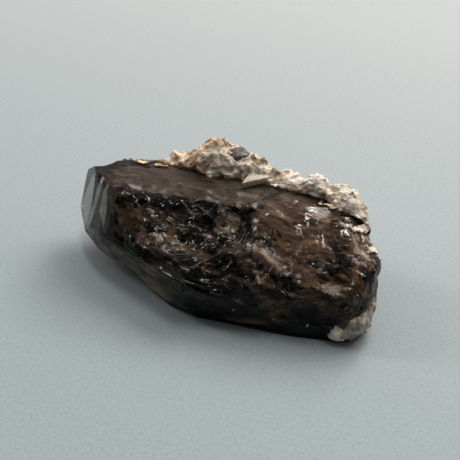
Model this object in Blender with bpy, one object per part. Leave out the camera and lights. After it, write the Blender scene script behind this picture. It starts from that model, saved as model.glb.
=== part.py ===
"""Smoky quartz crystal lying on its side, with feldspar crust.

Four solids, none of them moving:
  quartz_crystal  the smoky quartz: flat crystal faces cut by named planes, shell breaks, rest flat
  ridge_crust     granular feldspar along the top back edge
  small_crystal   a small dark crystal standing in the crust
  foot_crust      a pale crust patch on the lower corner of the broken root

Frame: metres, +Z up, floor at Z = 0. The long axis runs along X, tip to -X, broken root to +X.
The chipped front faces -Y. The driving values below are in millimetres from a working origin;
at the end the pieces move so that the origin is under the middle of the whole, and turn to metres.
"""

import math

import bmesh
import bpy
from mathutils import Matrix, Vector, noise

MM = 0.001

# ---------------------------------------------------------------- crystal faces
# Every face of the quartz is a plane: name, azimuth and elevation of its outward normal
# (degrees), its distance from BLOCK_CENTRE (mm), and how rough the break is on it
# (0 = flat crystal face, 1 = fully broken).
BLOCK_CENTRE = (-6.0, 0.0, 14.0)
BLOCK_REACH = 160.0
CRYSTAL_FACES = (
    ("rest_flat", 0.0, -90.0, 14.00, 0.0),
    ("tip_underside", 180.0, -78.5, 15.57, 0.15),
    ("lower_band_left", -106.6, -14.6, 24.73, 0.0),
    ("lower_band_right", -79.5, -19.6, 23.09, 0.0),
    ("top_left", 105.0, 87.0, 14.79, 0.12),
    ("top_right", 90.0, 87.0, 14.81, 0.30),
    ("front_left", -106.7, 21.5, 24.19, 0.75),
    ("front_brow", -74.4, 75.0, 14.83, 0.55),
    ("front_middle", -79.0, 58.1, 13.73, 1.0),
    ("front_right", -71.9, -1.9, 22.81, 0.8),
    ("root_shoulder", 15.0, 42.0, 35.75, 1.0),
    ("root_end", -12.0, 8.0, 42.73, 1.0),
    ("root_foot", -30.0, -22.0, 41.49, 0.9),
    ("tip_strip_front", -115.6, 19.9, 28.30, 0.0),
    ("tip_strip_middle", -125.9, 17.6, 33.13, 0.0),
    ("tip_strip_back", -135.9, 14.7, 38.32, 0.0),
    ("tip_lower", -119.2, -4.8, 31.56, 0.0),
    ("tip_chamfer", 160.0, 55.0, 37.70, 0.25),
    ("tip_end", 160.0, 5.0, 53.75, 0.10),
    ("back_upper_left", 116.0, 34.0, 29.76, 0.15),
    ("back_upper", 95.6, 35.4, 22.04, 0.55),
    ("back_lower", 88.0, -22.0, 20.40, 0.12),
    ("back_tip", 128.0, 6.0, 36.79, 0.15),
    ("root_back", 42.0, -12.0, 31.79, 1.0),
)

# ---------------------------------------------------------------- shell breaks
# Conchoidal scoops: name, centre on the surface, azimuth and elevation of the opening,
# rim radius, depth.
SHELL_BREAKS = (
    ("left_shell", (-15.5, -11.8, 24.1), -79, 55, 11.6, 2.2),
    ("upper_flake", (-18.8, -7.2, 27.3), -79, 62, 6.0, 1.0),
    ("tip_flake", (-28.4, -15.5, 22.7), -98, 38, 7.4, 1.2),
    ("ridge_flake", (-19.0, -20.5, 16.5), -95, 22, 5.6, 0.9),
    ("centre_bowl", (1.0, -18.6, 17.6), -84, 42, 8.6, 2.2),
    ("centre_split", (-3.7, -6.4, 26.0), -60, 60, 6.8, 1.4),
    ("tan_bowl", (8.2, -9.0, 23.0), -70, 58, 7.8, 1.7),
    ("low_left", (1.0, -21.4, 9.4), -80, 15, 6.4, 0.9),
    ("middle_shell", (19.4, -16.2, 16.4), -74, 34, 8.4, 1.7),
    ("upper_shallow", (17.3, -0.1, 27.4), -79, 66, 11.5, 1.4),
    ("right_bowl", (29.0, -9.0, 20.0), -58, 42, 7.6, 1.6),
    ("right_flake", (26.2, 8.1, 28.3), 60, 75, 5.6, 0.9),
    ("root_bowl", (35.2, -4.6, 21.0), -40, 36, 5.4, 1.1),
    ("low_right", (28.1, -13.8, 8.9), -66, 2, 7.2, 1.3),
    ("right_mid", (18.2, -9.0, 22.0), -82, 50, 6.0, 1.0),
    ("upper_mid", (2.5, -1.4, 28.3), -79, 72, 6.0, 0.9),
    ("low_mid", (14.0, -17.4, 7.6), -74, 6, 6.6, 1.1),
    ("root_end_shell", (38.0, 0.0, 14.0), 0, 5, 8.5, 1.6),
    ("root_back_shell", (26.0, 17.0, 12.0), 45, 0, 9.5, 2.0),
    ("root_back_upper", (22.0, 16.0, 23.0), 60, 30, 6.5, 1.3),
    ("back_shell", (-2.0, 21.5, 17.0), 92, 8, 9.0, 1.7),
    ("back_flake", (12.0, 20.0, 8.0), 85, -20, 6.0, 1.1),
)

# Chips that break the flat crystal faces and their edges too.
EDGE_CHIPS = (
    ("under_tip_chip", (-31.5, -16.6, 3.6), -125, -50, 9.0, 1.7),
    ("band_chip", (-12.0, -20.6, 1.0), -95, -45, 3.4, 0.6),
    ("tip_top_chip", (-52.0, 4.5, 27.6), 175, 50, 3.2, 0.6),
    ("top_edge_chip", (-30.0, -9.0, 28.9), -80, 62, 3.8, 0.7),
)

# ---------------------------------------------------------------- ledges
# Straight steps across the rough faces: name, a point on the step, the azimuth and
# elevation the step looks along, drop, and how far the drop takes to fade out again.
BREAK_LEDGES = (
    ("ledge_left", (-24.0, -13.0, 24.0), -20, -20, 0.9, 7.0),
    ("ledge_middle", (-6.0, -12.0, 22.0), 5, -35, 1.1, 8.0),
    ("ledge_tan", (12.0, -10.0, 22.0), -15, -45, 0.9, 6.5),
    ("ledge_right", (24.0, -8.0, 20.0), -10, -50, 0.9, 7.5),
    ("ledge_root", (36.0, 0.0, 16.0), -60, -30, 0.8, 6.0),
    ("ledge_back", (4.0, 20.0, 16.0), 160, -30, 0.8, 9.0),
)

# Broken-surface noise: (cell size mm, height mm, seed offset)
ROUGH_WAVES = ((14.0, 1.10, 11.3), (6.0, 0.60, 27.9), (3.0, 0.22, 43.1))
ROUGH_BLEND = 2.4        # distance over which a break dies out towards a flat face
ROUGH_EDGE = 2.9         # longest mesh edge on broken faces
FLAT_EDGE = 9.0          # longest mesh edge on flat crystal faces
FLAT_LIMIT = 0.05        # faces rougher than this carry the break

# ---------------------------------------------------------------- ridge crust
# Stations along the top back edge: X, middle Y, middle Z, half depth in Y, half height in Z.
CRUST_STATIONS = (
    (-38.5, 13.2, 25.6, 2.0, 2.2),
    (-36.0, 14.0, 25.2, 3.4, 3.2),
    (-33.0, 15.0, 25.0, 4.4, 4.2),
    (-30.0, 15.8, 25.0, 5.2, 5.7),
    (-27.2, 16.2, 25.2, 5.8, 8.1),
    (-24.8, 16.4, 25.6, 6.1, 9.7),
    (-22.0, 16.5, 25.8, 6.1, 10.7),
    (-19.4, 16.8, 26.0, 6.0, 10.3),
    (-17.0, 17.2, 26.0, 5.8, 8.9),
    (-14.2, 17.6, 25.8, 5.4, 7.3),
    (-11.2, 17.8, 25.8, 5.0, 7.0),
    (-8.0, 17.9, 26.0, 4.6, 6.3),
    (-4.6, 18.0, 26.2, 4.1, 4.8),
    (-1.0, 18.2, 26.4, 3.7, 4.3),
    (3.0, 18.2, 26.2, 3.5, 4.2),
    (7.0, 18.0, 26.2, 3.5, 4.0),
    (9.6, 17.6, 26.6, 3.7, 4.5),
    (12.8, 17.2, 27.0, 3.9, 5.2),
    (15.6, 16.8, 26.8, 3.8, 4.6),
    (18.0, 16.2, 26.6, 3.6, 4.4),
    (21.0, 15.0, 26.6, 3.6, 4.4),
    (24.0, 13.4, 26.4, 3.4, 4.3),
    (27.0, 11.8, 25.4, 2.8, 3.4),
    (29.2, 10.6, 24.4, 1.6, 2.0),
)
CRUST_AROUND = 24
CRUST_LENGTHWISE = 3
CRUST_SQUARE = 2.3
CRUST_LUMPS = ((6.5, 1.5, 71.0), (3.1, 1.1, 83.0), (1.7, 0.5, 5.0))
CRUST_GAP = 0.30

# Pale feldspar plate lying forward of the crust: corner points on the top of the stone
PLATE_CORNERS = ((-8.4, 7.6), (-2.4, 15.2), (-9.6, 18.0))
PLATE_TOP = 30.4
PLATE_BOTTOM = 28.0

# ---------------------------------------------------------------- small crystal
SMALL_BASE = (-15.2, 18.6, 24.2)
SMALL_RADIUS = (3.5, 2.5)
SMALL_HEIGHT = 10.2
SMALL_TILT = (6.0, 2.0, 18.0)
SMALL_CUTS = ((200.0, 62.0, 9.55), (20.0, 52.0, 9.15), (-80.0, 50.0, 9.3))

# ---------------------------------------------------------------- foot crust
FOOT_LUMPS = (
    ((35.4, -8.4, 7.0), (3.6, 4.0, 3.7)),
    ((33.4, -10.2, 4.4), (3.4, 2.9, 2.7)),
    ((36.8, -5.4, 9.8), (2.4, 3.6, 2.9)),
)
FOOT_DETAIL = 3
FOOT_WAVES = ((3.4, 0.45, 91.0), (1.7, 0.25, 97.0))

MATERIALS = {
    "smoky_quartz": dict(color=(0.062, 0.038, 0.022, 1.0), roughness=0.08, transmission=0.6, ior=1.544),
    "feldspar_crust": dict(color=(0.66, 0.52, 0.38, 1.0), roughness=0.85, transmission=0.0, ior=1.5),
    "dark_crystal": dict(color=(0.21, 0.18, 0.14, 1.0), roughness=0.35, transmission=0.3, ior=1.544),
    "pale_crust": dict(color=(0.40, 0.35, 0.29, 1.0), roughness=0.8, transmission=0.0, ior=1.5),
}


# ================================================================ helpers
def direction(azimuth, elevation):
    """Unit vector from an azimuth and an elevation in degrees."""
    a, e = math.radians(azimuth), math.radians(elevation)
    return Vector((math.cos(a) * math.cos(e), math.sin(a) * math.cos(e), math.sin(e)))


def smooth_step(value, start, end):
    """Smooth ramp from 0 at start to 1 at end."""
    t = max(0.0, min(1.0, (value - start) / (end - start)))
    return t * t * (3.0 - 2.0 * t)


def waves(point, bands):
    """Signed sum of noise bands at a point."""
    total = 0.0
    for cell, height, seed in bands:
        total += height * noise.noise(point / cell + Vector((seed, seed * 0.37, seed * 0.71)))
    return total


def clear_scene():
    """Start from an empty file."""
    for item in list(bpy.data.objects):
        bpy.data.objects.remove(item, do_unlink=True)
    for group in list(bpy.data.collections):
        bpy.data.collections.remove(group)


def new_collection(name):
    """Make a collection linked to the scene."""
    group = bpy.data.collections.new(name)
    bpy.context.scene.collection.children.link(group)
    return group


def make_material(name):
    """Principled material for one named slot."""
    values = MATERIALS[name]
    material = bpy.data.materials.new(name)
    material.use_nodes = True
    shader = material.node_tree.nodes["Principled BSDF"]
    shader.inputs["Base Color"].default_value = values["color"]
    shader.inputs["Roughness"].default_value = values["roughness"]
    shader.inputs["Transmission Weight"].default_value = values["transmission"]
    shader.inputs["IOR"].default_value = values["ior"]
    material.diffuse_color = values["color"]
    return material


def to_object(bm, name, group, material=None):
    """Turn a bmesh into an object in its own collection."""
    mesh = bpy.data.meshes.new(name)
    bm.to_mesh(mesh)
    bm.free()
    item = bpy.data.objects.new(name, mesh)
    group.objects.link(item)
    if material is not None:
        mesh.materials.append(material)
    return item


def cut_planes(bm, centre, cuts):
    """Cut a closed convex bmesh by planes, each given as normal and distance from centre."""
    for normal, distance in cuts:
        geometry = bm.verts[:] + bm.edges[:] + bm.faces[:]
        result = bmesh.ops.bisect_plane(
            bm, geom=geometry, dist=1e-6, plane_co=centre + normal * distance, plane_no=normal, clear_outer=True)
        rim = [g for g in result["geom_cut"] if isinstance(g, bmesh.types.BMEdge)]
        if rim:
            bmesh.ops.holes_fill(bm, edges=rim, sides=0)
    bmesh.ops.remove_doubles(bm, verts=bm.verts[:], dist=1e-4)
    bmesh.ops.dissolve_limit(bm, angle_limit=math.radians(0.4), verts=bm.verts[:], edges=bm.edges[:])
    bmesh.ops.recalc_face_normals(bm, faces=bm.faces[:])


def block_from_faces(grow):
    """Convex block bounded by the named crystal faces, grown outwards by a gap."""
    bm = bmesh.new()
    centre = Vector(BLOCK_CENTRE)
    bmesh.ops.create_cube(bm, size=BLOCK_REACH, matrix=Matrix.Translation(centre))
    cut_planes(bm, centre, [(direction(az, el), dist + grow) for _, az, el, dist, _ in CRYSTAL_FACES])
    return bm


def face_roughness(normal):
    """Roughness of the crystal face whose normal is closest."""
    return max(CRYSTAL_FACES, key=lambda f: direction(f[1], f[2]).dot(normal))[4]


def near_chip(start, end):
    """True when an edge comes close to one of the edge chips."""
    for _, middle, _, _, rim, _ in EDGE_CHIPS:
        span = end - start
        t = max(0.0, min(1.0, (Vector(middle) - start).dot(span) / max(span.length_squared, 1e-9)))
        if (start + span * t - Vector(middle)).length < rim + 1.0:
            return True
    return False


def refine(bm, rough_layer):
    """Split long edges, finer on broken faces and at chips than on flat faces."""
    bmesh.ops.triangulate(bm, faces=bm.faces[:])
    for _ in range(9):
        long_edges = []
        for edge in bm.edges:
            rough = max((face[rough_layer] for face in edge.link_faces), default=0.0)
            limit = ROUGH_EDGE if rough > FLAT_LIMIT else FLAT_EDGE
            if limit == FLAT_EDGE and ROUGH_EDGE < edge.calc_length() and near_chip(edge.verts[0].co, edge.verts[1].co):
                limit = ROUGH_EDGE
            if edge.calc_length() > limit:
                long_edges.append(edge)
        if not long_edges:
            break
        long_edges.sort(key=lambda e: -e.calc_length())
        bmesh.ops.subdivide_edges(bm, edges=long_edges, cuts=1, use_grid_fill=False)
        bmesh.ops.triangulate(bm, faces=[f for f in bm.faces if len(f.verts) > 3])
        bmesh.ops.beautify_fill(bm, faces=bm.faces[:], edges=[
            e for e in bm.edges if len(e.link_faces) == 2 and e.calc_face_angle(0.0) < 0.002])


def vertex_break(bm, rough_layer):
    """How broken the surface is at each vertex: zero along every flat crystal face."""
    centre = Vector(BLOCK_CENTRE)
    planes = [(direction(az, el), dist, rough) for _, az, el, dist, rough in CRYSTAL_FACES]
    amounts = {}
    for vert in bm.verts:
        rough = min(face[rough_layer] for face in vert.link_faces)
        if rough <= FLAT_LIMIT:
            amounts[vert] = 0.0
            continue
        offset = vert.co - centre
        amount = rough
        for normal, dist, flatness in planes:
            gap = dist - normal.dot(offset)
            if flatness <= FLAT_LIMIT:
                amount *= smooth_step(gap, 0.0, ROUGH_BLEND)
            else:
                amount = min(amount, flatness + (rough - flatness) * smooth_step(gap, 0.0, ROUGH_BLEND * 2.0)
                             if flatness < rough else amount)
        amounts[vert] = amount
    return amounts


def under_crust(point):
    """1 away from the crust, 0 under it, so that the crust sits on an even seat."""
    nearest = 1e9
    for x, y, z, depth, height in CRUST_STATIONS:
        d = math.hypot((point.x - x) / 2.0, (point.y - y) / max(depth, 0.1), (point.z - z) / max(height, 0.1))
        nearest = min(nearest, d)
    seat = smooth_step(nearest, 1.0, 1.35)
    for middle, size in FOOT_LUMPS:
        d = math.hypot(*[(point[i] - middle[i]) / size[i] for i in range(3)])
        seat = min(seat, smooth_step(d, 1.0, 1.35))
    return seat


def scoop_ball(middle, azimuth, elevation, rim, depth):
    """Centre and radius of the ball whose cap has the given rim and depth."""
    radius = (rim * rim + depth * depth) / (2.0 * depth)
    return Vector(middle) + direction(azimuth, elevation) * (radius - depth), radius


def corner_quality(face, normal):
    """Smallest sine of a triangle's corners, negative when it has turned over."""
    points = [v.co for v in face.verts]
    worst = 1.0
    for k in range(3):
        a = (points[(k + 1) % 3] - points[k]).normalized()
        b = (points[(k + 2) % 3] - points[k]).normalized()
        worst = min(worst, a.cross(b).dot(normal))
    return worst


def snap_to_rims(bm):
    """Slide face-interior vertices onto the nearest scoop rim, so that rims come out crisp."""
    balls = [scoop_ball(*values[1:]) for values in SHELL_BREAKS + EDGE_CHIPS]
    for vert in bm.verts:
        normals = [face.normal for face in vert.link_faces]
        if any(normals[0].dot(other) < 0.9995 for other in normals[1:]):
            continue
        normal = normals[0]
        for ball, radius in balls:
            offset = vert.co - ball
            height = offset.dot(normal)
            if abs(height) >= radius:
                continue
            rim = math.sqrt(radius * radius - height * height)
            flat = offset - normal * height
            if rim > 1.5 and abs(flat.length - rim) < ROUGH_EDGE * 0.3:
                before = vert.co.copy()
                vert.co = ball + normal * height + flat.normalized() * rim
                if min(corner_quality(face, normal) for face in vert.link_faces) < 0.22:
                    vert.co = before
                    continue
                break


def scoop(point, amount, breaks):
    """Push a point out of every break that it lies in."""
    for _, middle, azimuth, elevation, rim, depth in breaks:
        ball, radius = scoop_ball(middle, azimuth, elevation, rim, depth)
        away = point - ball
        if away.length < radius:
            target = ball + away.normalized() * radius
            point = point.lerp(target, min(1.0, amount * 1.6))
    return point


def ledge_drop(point):
    """Depth of the straight steps at a point."""
    drop = 0.0
    for _, start, azimuth, elevation, height, fade in BREAK_LEDGES:
        along = (point - Vector(start)).dot(direction(azimuth, elevation))
        if -1.2 < along < fade:
            near = 1.0 - smooth_step((point - Vector(start)).length, 6.0, 13.0)
            drop += height * near * smooth_step(along, -1.2, 0.8) * (1.0 - max(along, 0.0) / fade)
    return drop


# ================================================================ pieces
def build_quartz(group, material):
    """The quartz body: flat faces kept flat, broken faces scooped, stepped and roughened."""
    bm = block_from_faces(0.0)
    rough_layer = bm.faces.layers.float.new("rough")
    for face in bm.faces:
        face[rough_layer] = face_roughness(face.normal)
    refine(bm, rough_layer)
    snap_to_rims(bm)
    bm.normal_update()
    amounts = vertex_break(bm, rough_layer)
    moved = {}
    for vert in bm.verts:
        amount = amounts[vert] * under_crust(vert.co)
        chipped = scoop(vert.co.copy(), 1.0, EDGE_CHIPS)
        if amount <= 0.0:
            if (chipped - vert.co).length > 1e-6:
                moved[vert] = chipped
            continue
        inward = -vert.normal
        point = scoop(chipped, amount, SHELL_BREAKS)
        bump = waves(vert.co, ROUGH_WAVES)
        push = max(-0.12, 0.34 + bump) + ledge_drop(vert.co)
        moved[vert] = point + inward * push * amount
    for vert, point in moved.items():
        vert.co = Vector((point.x, point.y, max(point.z, 0.0)))
    relax_folds(bm, set(moved))
    bmesh.ops.recalc_face_normals(bm, faces=bm.faces[:])
    item = to_object(bm, "quartz_crystal", group, material)
    shade(item, 24.0)
    return item


def relax_folds(bm, free):
    """Ease vertices whose faces fold sharply over each other towards their neighbours."""
    for _ in range(6):
        bm.normal_update()
        folded = set()
        for edge in bm.edges:
            if edge.calc_face_angle(0.0) > math.radians(75.0):
                folded.update(v for v in edge.verts if v in free)
        if not folded:
            break
        targets = {}
        for vert in folded:
            near = [edge.other_vert(vert).co for edge in vert.link_edges]
            targets[vert] = sum(near, Vector()) / len(near)
        for vert, target in targets.items():
            vert.co = vert.co.lerp(target, 0.5)


def shade(item, angle):
    """Smooth shading with sharp edges above an angle in degrees."""
    mesh = item.data
    bm = bmesh.new()
    bm.from_mesh(mesh)
    for face in bm.faces:
        face.smooth = True
    for edge in bm.edges:
        edge.smooth = edge.calc_face_angle(0.0) < math.radians(angle)
    bm.to_mesh(mesh)
    bm.free()


def boolean(item, cutter, operation):
    """Apply one exact Boolean to an object."""
    modifier = item.modifiers.new(operation.lower(), "BOOLEAN")
    modifier.operation = operation
    modifier.solver = "EXACT"
    modifier.object = cutter
    bpy.context.view_layer.update()
    evaluated = item.evaluated_get(bpy.context.evaluated_depsgraph_get())
    mesh = bpy.data.meshes.new_from_object(evaluated)
    item.modifiers.clear()
    old = item.data
    item.data = mesh
    bpy.data.meshes.remove(old)
    mesh.name = item.name


def crust_profile(t):
    """Station values at a fractional index."""
    i = min(int(t), len(CRUST_STATIONS) - 2)
    f = t - i
    a, b = CRUST_STATIONS[i], CRUST_STATIONS[i + 1]
    return [a[k] + (b[k] - a[k]) * f for k in range(5)]


def build_ridge_crust(group, material):
    """The crust: a lumpy body swept along the stations."""
    bm = bmesh.new()
    rings = []
    steps = (len(CRUST_STATIONS) - 1) * CRUST_LENGTHWISE
    for s in range(steps + 1):
        x, y, z, depth, height = crust_profile(s / CRUST_LENGTHWISE)
        ring = []
        for k in range(CRUST_AROUND):
            angle = 2.0 * math.pi * k / CRUST_AROUND
            c, sn = math.cos(angle), math.sin(angle)
            c = math.copysign(abs(c) ** (2.0 / CRUST_SQUARE), c)
            sn = math.copysign(abs(sn) ** (2.0 / CRUST_SQUARE), sn)
            base = Vector((x, y + depth * c, z + height * sn))
            out = Vector((0.0, c, sn)).normalized()
            point = base + out * waves(base, CRUST_LUMPS)
            point.x += 0.8 * noise.noise(base / 3.1 + Vector((5.0, 9.0, 2.0)))
            ring.append(bm.verts.new(point))
        rings.append(ring)
    for a, b in zip(rings, rings[1:]):
        for k in range(CRUST_AROUND):
            n = (k + 1) % CRUST_AROUND
            bm.faces.new((a[k], a[n], b[n], b[k]))
    bm.faces.new(rings[0][::-1])
    bm.faces.new(rings[-1])
    bmesh.ops.recalc_face_normals(bm, faces=bm.faces[:])
    bmesh.ops.triangulate(bm, faces=bm.faces[:])
    return to_object(bm, "ridge_crust", group, material)


def build_plate(group):
    """The pale plate that reaches forward from the crust over the top of the stone."""
    bm = bmesh.new()
    outline = [bm.verts.new((x, y, PLATE_BOTTOM)) for x, y in PLATE_CORNERS]
    sole = bmesh.ops.contextual_create(bm, geom=outline)["faces"]
    raised = bmesh.ops.extrude_face_region(bm, geom=sole, use_keep_orig=True)["geom"]
    bmesh.ops.translate(bm, vec=(0.0, 0.0, PLATE_TOP - PLATE_BOTTOM),
                        verts=[g for g in raised if isinstance(g, bmesh.types.BMVert)])
    bmesh.ops.recalc_face_normals(bm, faces=bm.faces[:])
    return to_object(bm, "plate_tool", group)


def small_crystal_bmesh(grow):
    """Six-sided prism with three cut end faces, standing in the crust."""
    bm = bmesh.new()
    turn = (Matrix.Rotation(math.radians(SMALL_TILT[2]), 4, "Z")
            @ Matrix.Rotation(math.radians(SMALL_TILT[1]), 4, "Y")
            @ Matrix.Rotation(math.radians(SMALL_TILT[0]), 4, "X"))
    bmesh.ops.create_cube(bm, size=40.0)
    cuts = [(Vector((math.cos(a), math.sin(a), 0.0)), (SMALL_RADIUS[0] if abs(math.cos(a)) > 0.6 else SMALL_RADIUS[1]) + grow)
            for a in (math.radians(60.0 * k) for k in range(6))]
    cuts += [(Vector((0, 0, 1)), SMALL_HEIGHT + grow), (Vector((0, 0, -1)), grow)]
    cuts += [(direction(az, el), dist + grow) for az, el, dist in SMALL_CUTS]
    cut_planes(bm, Vector((0, 0, 0)), cuts)
    bmesh.ops.transform(bm, matrix=Matrix.Translation(Vector(SMALL_BASE)) @ turn, verts=bm.verts[:])
    bmesh.ops.triangulate(bm, faces=bm.faces[:])
    return bm


def build_foot(group, material):
    """The pale patch on the lower corner of the root: joined lumps."""
    first = None
    for index, (middle, size) in enumerate(FOOT_LUMPS):
        bm = bmesh.new()
        bmesh.ops.create_icosphere(bm, subdivisions=FOOT_DETAIL, radius=1.0)
        for vert in bm.verts:
            out = vert.co.normalized()
            base = Vector(middle) + Vector([out[i] * size[i] for i in range(3)])
            vert.co = base + out * waves(base, FOOT_WAVES)
        item = to_object(bm, "foot_crust" if first is None else "foot_tool_%d" % index, group,
                         material if first is None else None)
        if first is None:
            first = item
        else:
            boolean(first, item, "UNION")
            bpy.data.objects.remove(item, do_unlink=True)
    return first


def keep_largest(item):
    """Keep only the largest closed shell of an object, welding hair-thin edges."""
    bm = bmesh.new()
    bm.from_mesh(item.data)
    bmesh.ops.remove_doubles(bm, verts=bm.verts[:], dist=0.02)
    bmesh.ops.triangulate(bm, faces=bm.faces[:])
    left = set(bm.faces)
    shells = []
    while left:
        stack = [left.pop()]
        shell = list(stack)
        while stack:
            face = stack.pop()
            for edge in face.edges:
                for other in edge.link_faces:
                    if other in left:
                        left.remove(other)
                        stack.append(other)
                        shell.append(other)
        shells.append(shell)
    shells.sort(key=len, reverse=True)
    extra = [face for shell in shells[1:] for face in shell]
    if extra:
        bmesh.ops.delete(bm, geom=extra, context="FACES")
        loose = [v for v in bm.verts if not v.link_faces]
        bmesh.ops.delete(bm, geom=loose, context="VERTS")
    bmesh.ops.recalc_face_normals(bm, faces=bm.faces[:])
    bm.to_mesh(item.data)
    bm.free()


def middle_of(items):
    """Middle of the pieces' common box in X and Y."""
    points = [v.co for item in items for v in item.data.vertices]
    low = [min(p[i] for p in points) for i in range(2)]
    high = [max(p[i] for p in points) for i in range(2)]
    return Vector(((low[0] + high[0]) / 2.0, (low[1] + high[1]) / 2.0, 0.0))


def to_metres(item, middle):
    """Put the origin under the middle and turn millimetres into metres in the mesh itself."""
    item.data.transform(Matrix.Scale(MM, 4) @ Matrix.Translation(-middle))
    item.data.update()


def as_cutter(item):
    """Show a cutter as a wire only."""
    item.hide_render = True
    item.display_type = "WIRE"


def main():
    clear_scene()
    cutters = new_collection("cutters")
    groups = {name: new_collection(name) for name in ("quartz_crystal", "ridge_crust", "small_crystal", "foot_crust")}

    quartz = build_quartz(groups["quartz_crystal"], make_material("smoky_quartz"))

    seat_bm = block_from_faces(CRUST_GAP)
    bmesh.ops.triangulate(seat_bm, faces=seat_bm.faces[:])
    seat = to_object(seat_bm, "seat_cutter", cutters)
    socket = to_object(small_crystal_bmesh(CRUST_GAP), "socket_cutter", cutters)

    crust = build_ridge_crust(groups["ridge_crust"], make_material("feldspar_crust"))
    plate = build_plate(cutters)
    boolean(crust, plate, "UNION")
    boolean(crust, seat, "DIFFERENCE")
    boolean(crust, socket, "DIFFERENCE")
    keep_largest(crust)
    shade(crust, 35.0)

    small = to_object(small_crystal_bmesh(0.0), "small_crystal", groups["small_crystal"], make_material("dark_crystal"))
    boolean(small, seat, "DIFFERENCE")
    keep_largest(small)
    shade(small, 15.0)

    foot = build_foot(groups["foot_crust"], make_material("pale_crust"))
    boolean(foot, seat, "DIFFERENCE")
    floor_bm = bmesh.new()
    bmesh.ops.create_cube(floor_bm, size=100.0, matrix=Matrix.Translation(Vector((40.0, -10.0, -50.0 + 0.25))))
    floor = to_object(floor_bm, "floor_cutter", cutters)
    boolean(foot, floor, "DIFFERENCE")
    keep_largest(foot)
    shade(foot, 35.0)

    middle = middle_of((quartz, crust, small, foot))
    for item in (quartz, crust, small, foot, seat, socket, plate, floor):
        to_metres(item, middle)
    for item in (seat, socket, plate, floor):
        as_cutter(item)


main()
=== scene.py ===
"""Smoky quartz crystal lying on its side with feldspar crust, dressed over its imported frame.

Driving values are in millimetres in the maker's working frame: long axis along X, tip to -X,
broken root to +X, chipped front to -Y. Finished pieces are moved so that the origin lies under
the middle of the whole, and turned to metres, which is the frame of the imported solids.
"""

import logging
import math
import random
from dataclasses import dataclass, field
from enum import Enum

import bmesh
import bpy
import numpy as np
from bmesh.types import BMEdge, BMesh, BMLayerItem, BMVert
from bpy.types import Material, NodeSocket, NodeTree, Object
from mathutils import Euler, Matrix, Vector, noise
from mathutils.bvhtree import BVHTree
from mathutils.kdtree import KDTree


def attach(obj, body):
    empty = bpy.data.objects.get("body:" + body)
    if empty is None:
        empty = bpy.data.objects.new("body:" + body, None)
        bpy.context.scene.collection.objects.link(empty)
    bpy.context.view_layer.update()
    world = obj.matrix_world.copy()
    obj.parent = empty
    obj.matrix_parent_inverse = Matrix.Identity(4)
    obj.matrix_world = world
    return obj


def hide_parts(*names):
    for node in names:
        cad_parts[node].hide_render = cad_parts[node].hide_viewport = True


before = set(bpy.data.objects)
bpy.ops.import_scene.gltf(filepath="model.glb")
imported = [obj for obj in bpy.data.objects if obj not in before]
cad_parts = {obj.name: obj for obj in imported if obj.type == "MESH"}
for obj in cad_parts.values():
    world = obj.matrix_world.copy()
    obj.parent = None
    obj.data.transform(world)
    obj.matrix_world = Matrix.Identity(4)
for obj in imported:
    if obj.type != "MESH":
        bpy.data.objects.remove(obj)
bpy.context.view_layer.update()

log = logging.getLogger("smoky_quartz")

MM = 0.001
MIDDLE = Vector((-12.2138, -0.7095, 0.0))
BLOCK_CENTRE = Vector((-6.0, 0.0, 14.0))
BLOCK_REACH = 160.0
# Tolerances of plane cuts: gap, weld (mm) and angle under which faces are one (degrees)
CUT_GAP, WELD, FLAT_ANGLE = 1e-6, 1e-4, 0.4
# Bowls that are compared at each point of a break
BOWLS_COMPARED = 9
# How steeply noise falls beside its crests
CREST_STEEPNESS = 2.2
# Angles under which an edge counts as flat (radians) and as smooth on a worn solid (degrees)
FLAT_EDGE, WORN_CREASE = 0.002, 30.0
# Noise level below all noise
EVERYWHERE = -9.0
# How far above the skin a ray starts that looks for it, mm
RAY_MARGIN = 4.0


class Surface(Enum):
    """How a crystal face is finished."""

    GLASSY = 0
    SATIN = 1
    BROKEN = 2
    BROKEN_BACK = 3


@dataclass(frozen=True)
class CrystalFace:
    """One plane that bounds the crystal.

    Args:
        name: what the face is.
        azimuth: compass angle of its outward normal, degrees.
        elevation: angle of the normal above the horizon, degrees.
        distance: distance from BLOCK_CENTRE, mm.
        roughness: 0 for a growth face, 1 for a fully broken one.
        surface: how it is finished.
    """

    name: str
    azimuth: float
    elevation: float
    distance: float
    roughness: float
    surface: Surface

    def normal(self) -> Vector:
        """Return the outward normal."""
        return direction(self.azimuth, self.elevation)

    def gap(self, points: np.ndarray) -> np.ndarray:
        """Return how far inside the face each point lies, mm."""
        return self.distance - (points - np.array(BLOCK_CENTRE)) @ np.array(self.normal())


@dataclass(frozen=True)
class ShellBreak:
    """A conchoidal scoop.

    Args:
        name: what the break is; not used.
        centre: point on the surface, mm.
        azimuth: compass angle it opens to, degrees.
        elevation: angle it opens to above the horizon, degrees.
        rim: rim radius, mm.
        depth: depth under the rim, mm.
    """

    name: str
    centre: tuple
    azimuth: float
    elevation: float
    rim: float
    depth: float

    def ball(self) -> tuple:
        """Return the middle and the radius of the ball whose cap is the scoop."""
        radius = (self.rim * self.rim + self.depth * self.depth) / (2.0 * self.depth)
        return Vector(self.centre) + direction(self.azimuth, self.elevation) * (radius - self.depth), radius


@dataclass(frozen=True)
class BowlScale:
    """One size of the small bowls that cover a broken face.

    Args:
        spacing: distance between bowls, mm.
        curve: how fast a bowl rises from its middle, per mm.
        slope: steepest tilt of a bowl.
        offset: how much deeper one bowl may be than another, mm.
        seed: seed of the bowls.
    """

    spacing: float
    curve: float
    slope: float
    offset: float
    seed: int


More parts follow.
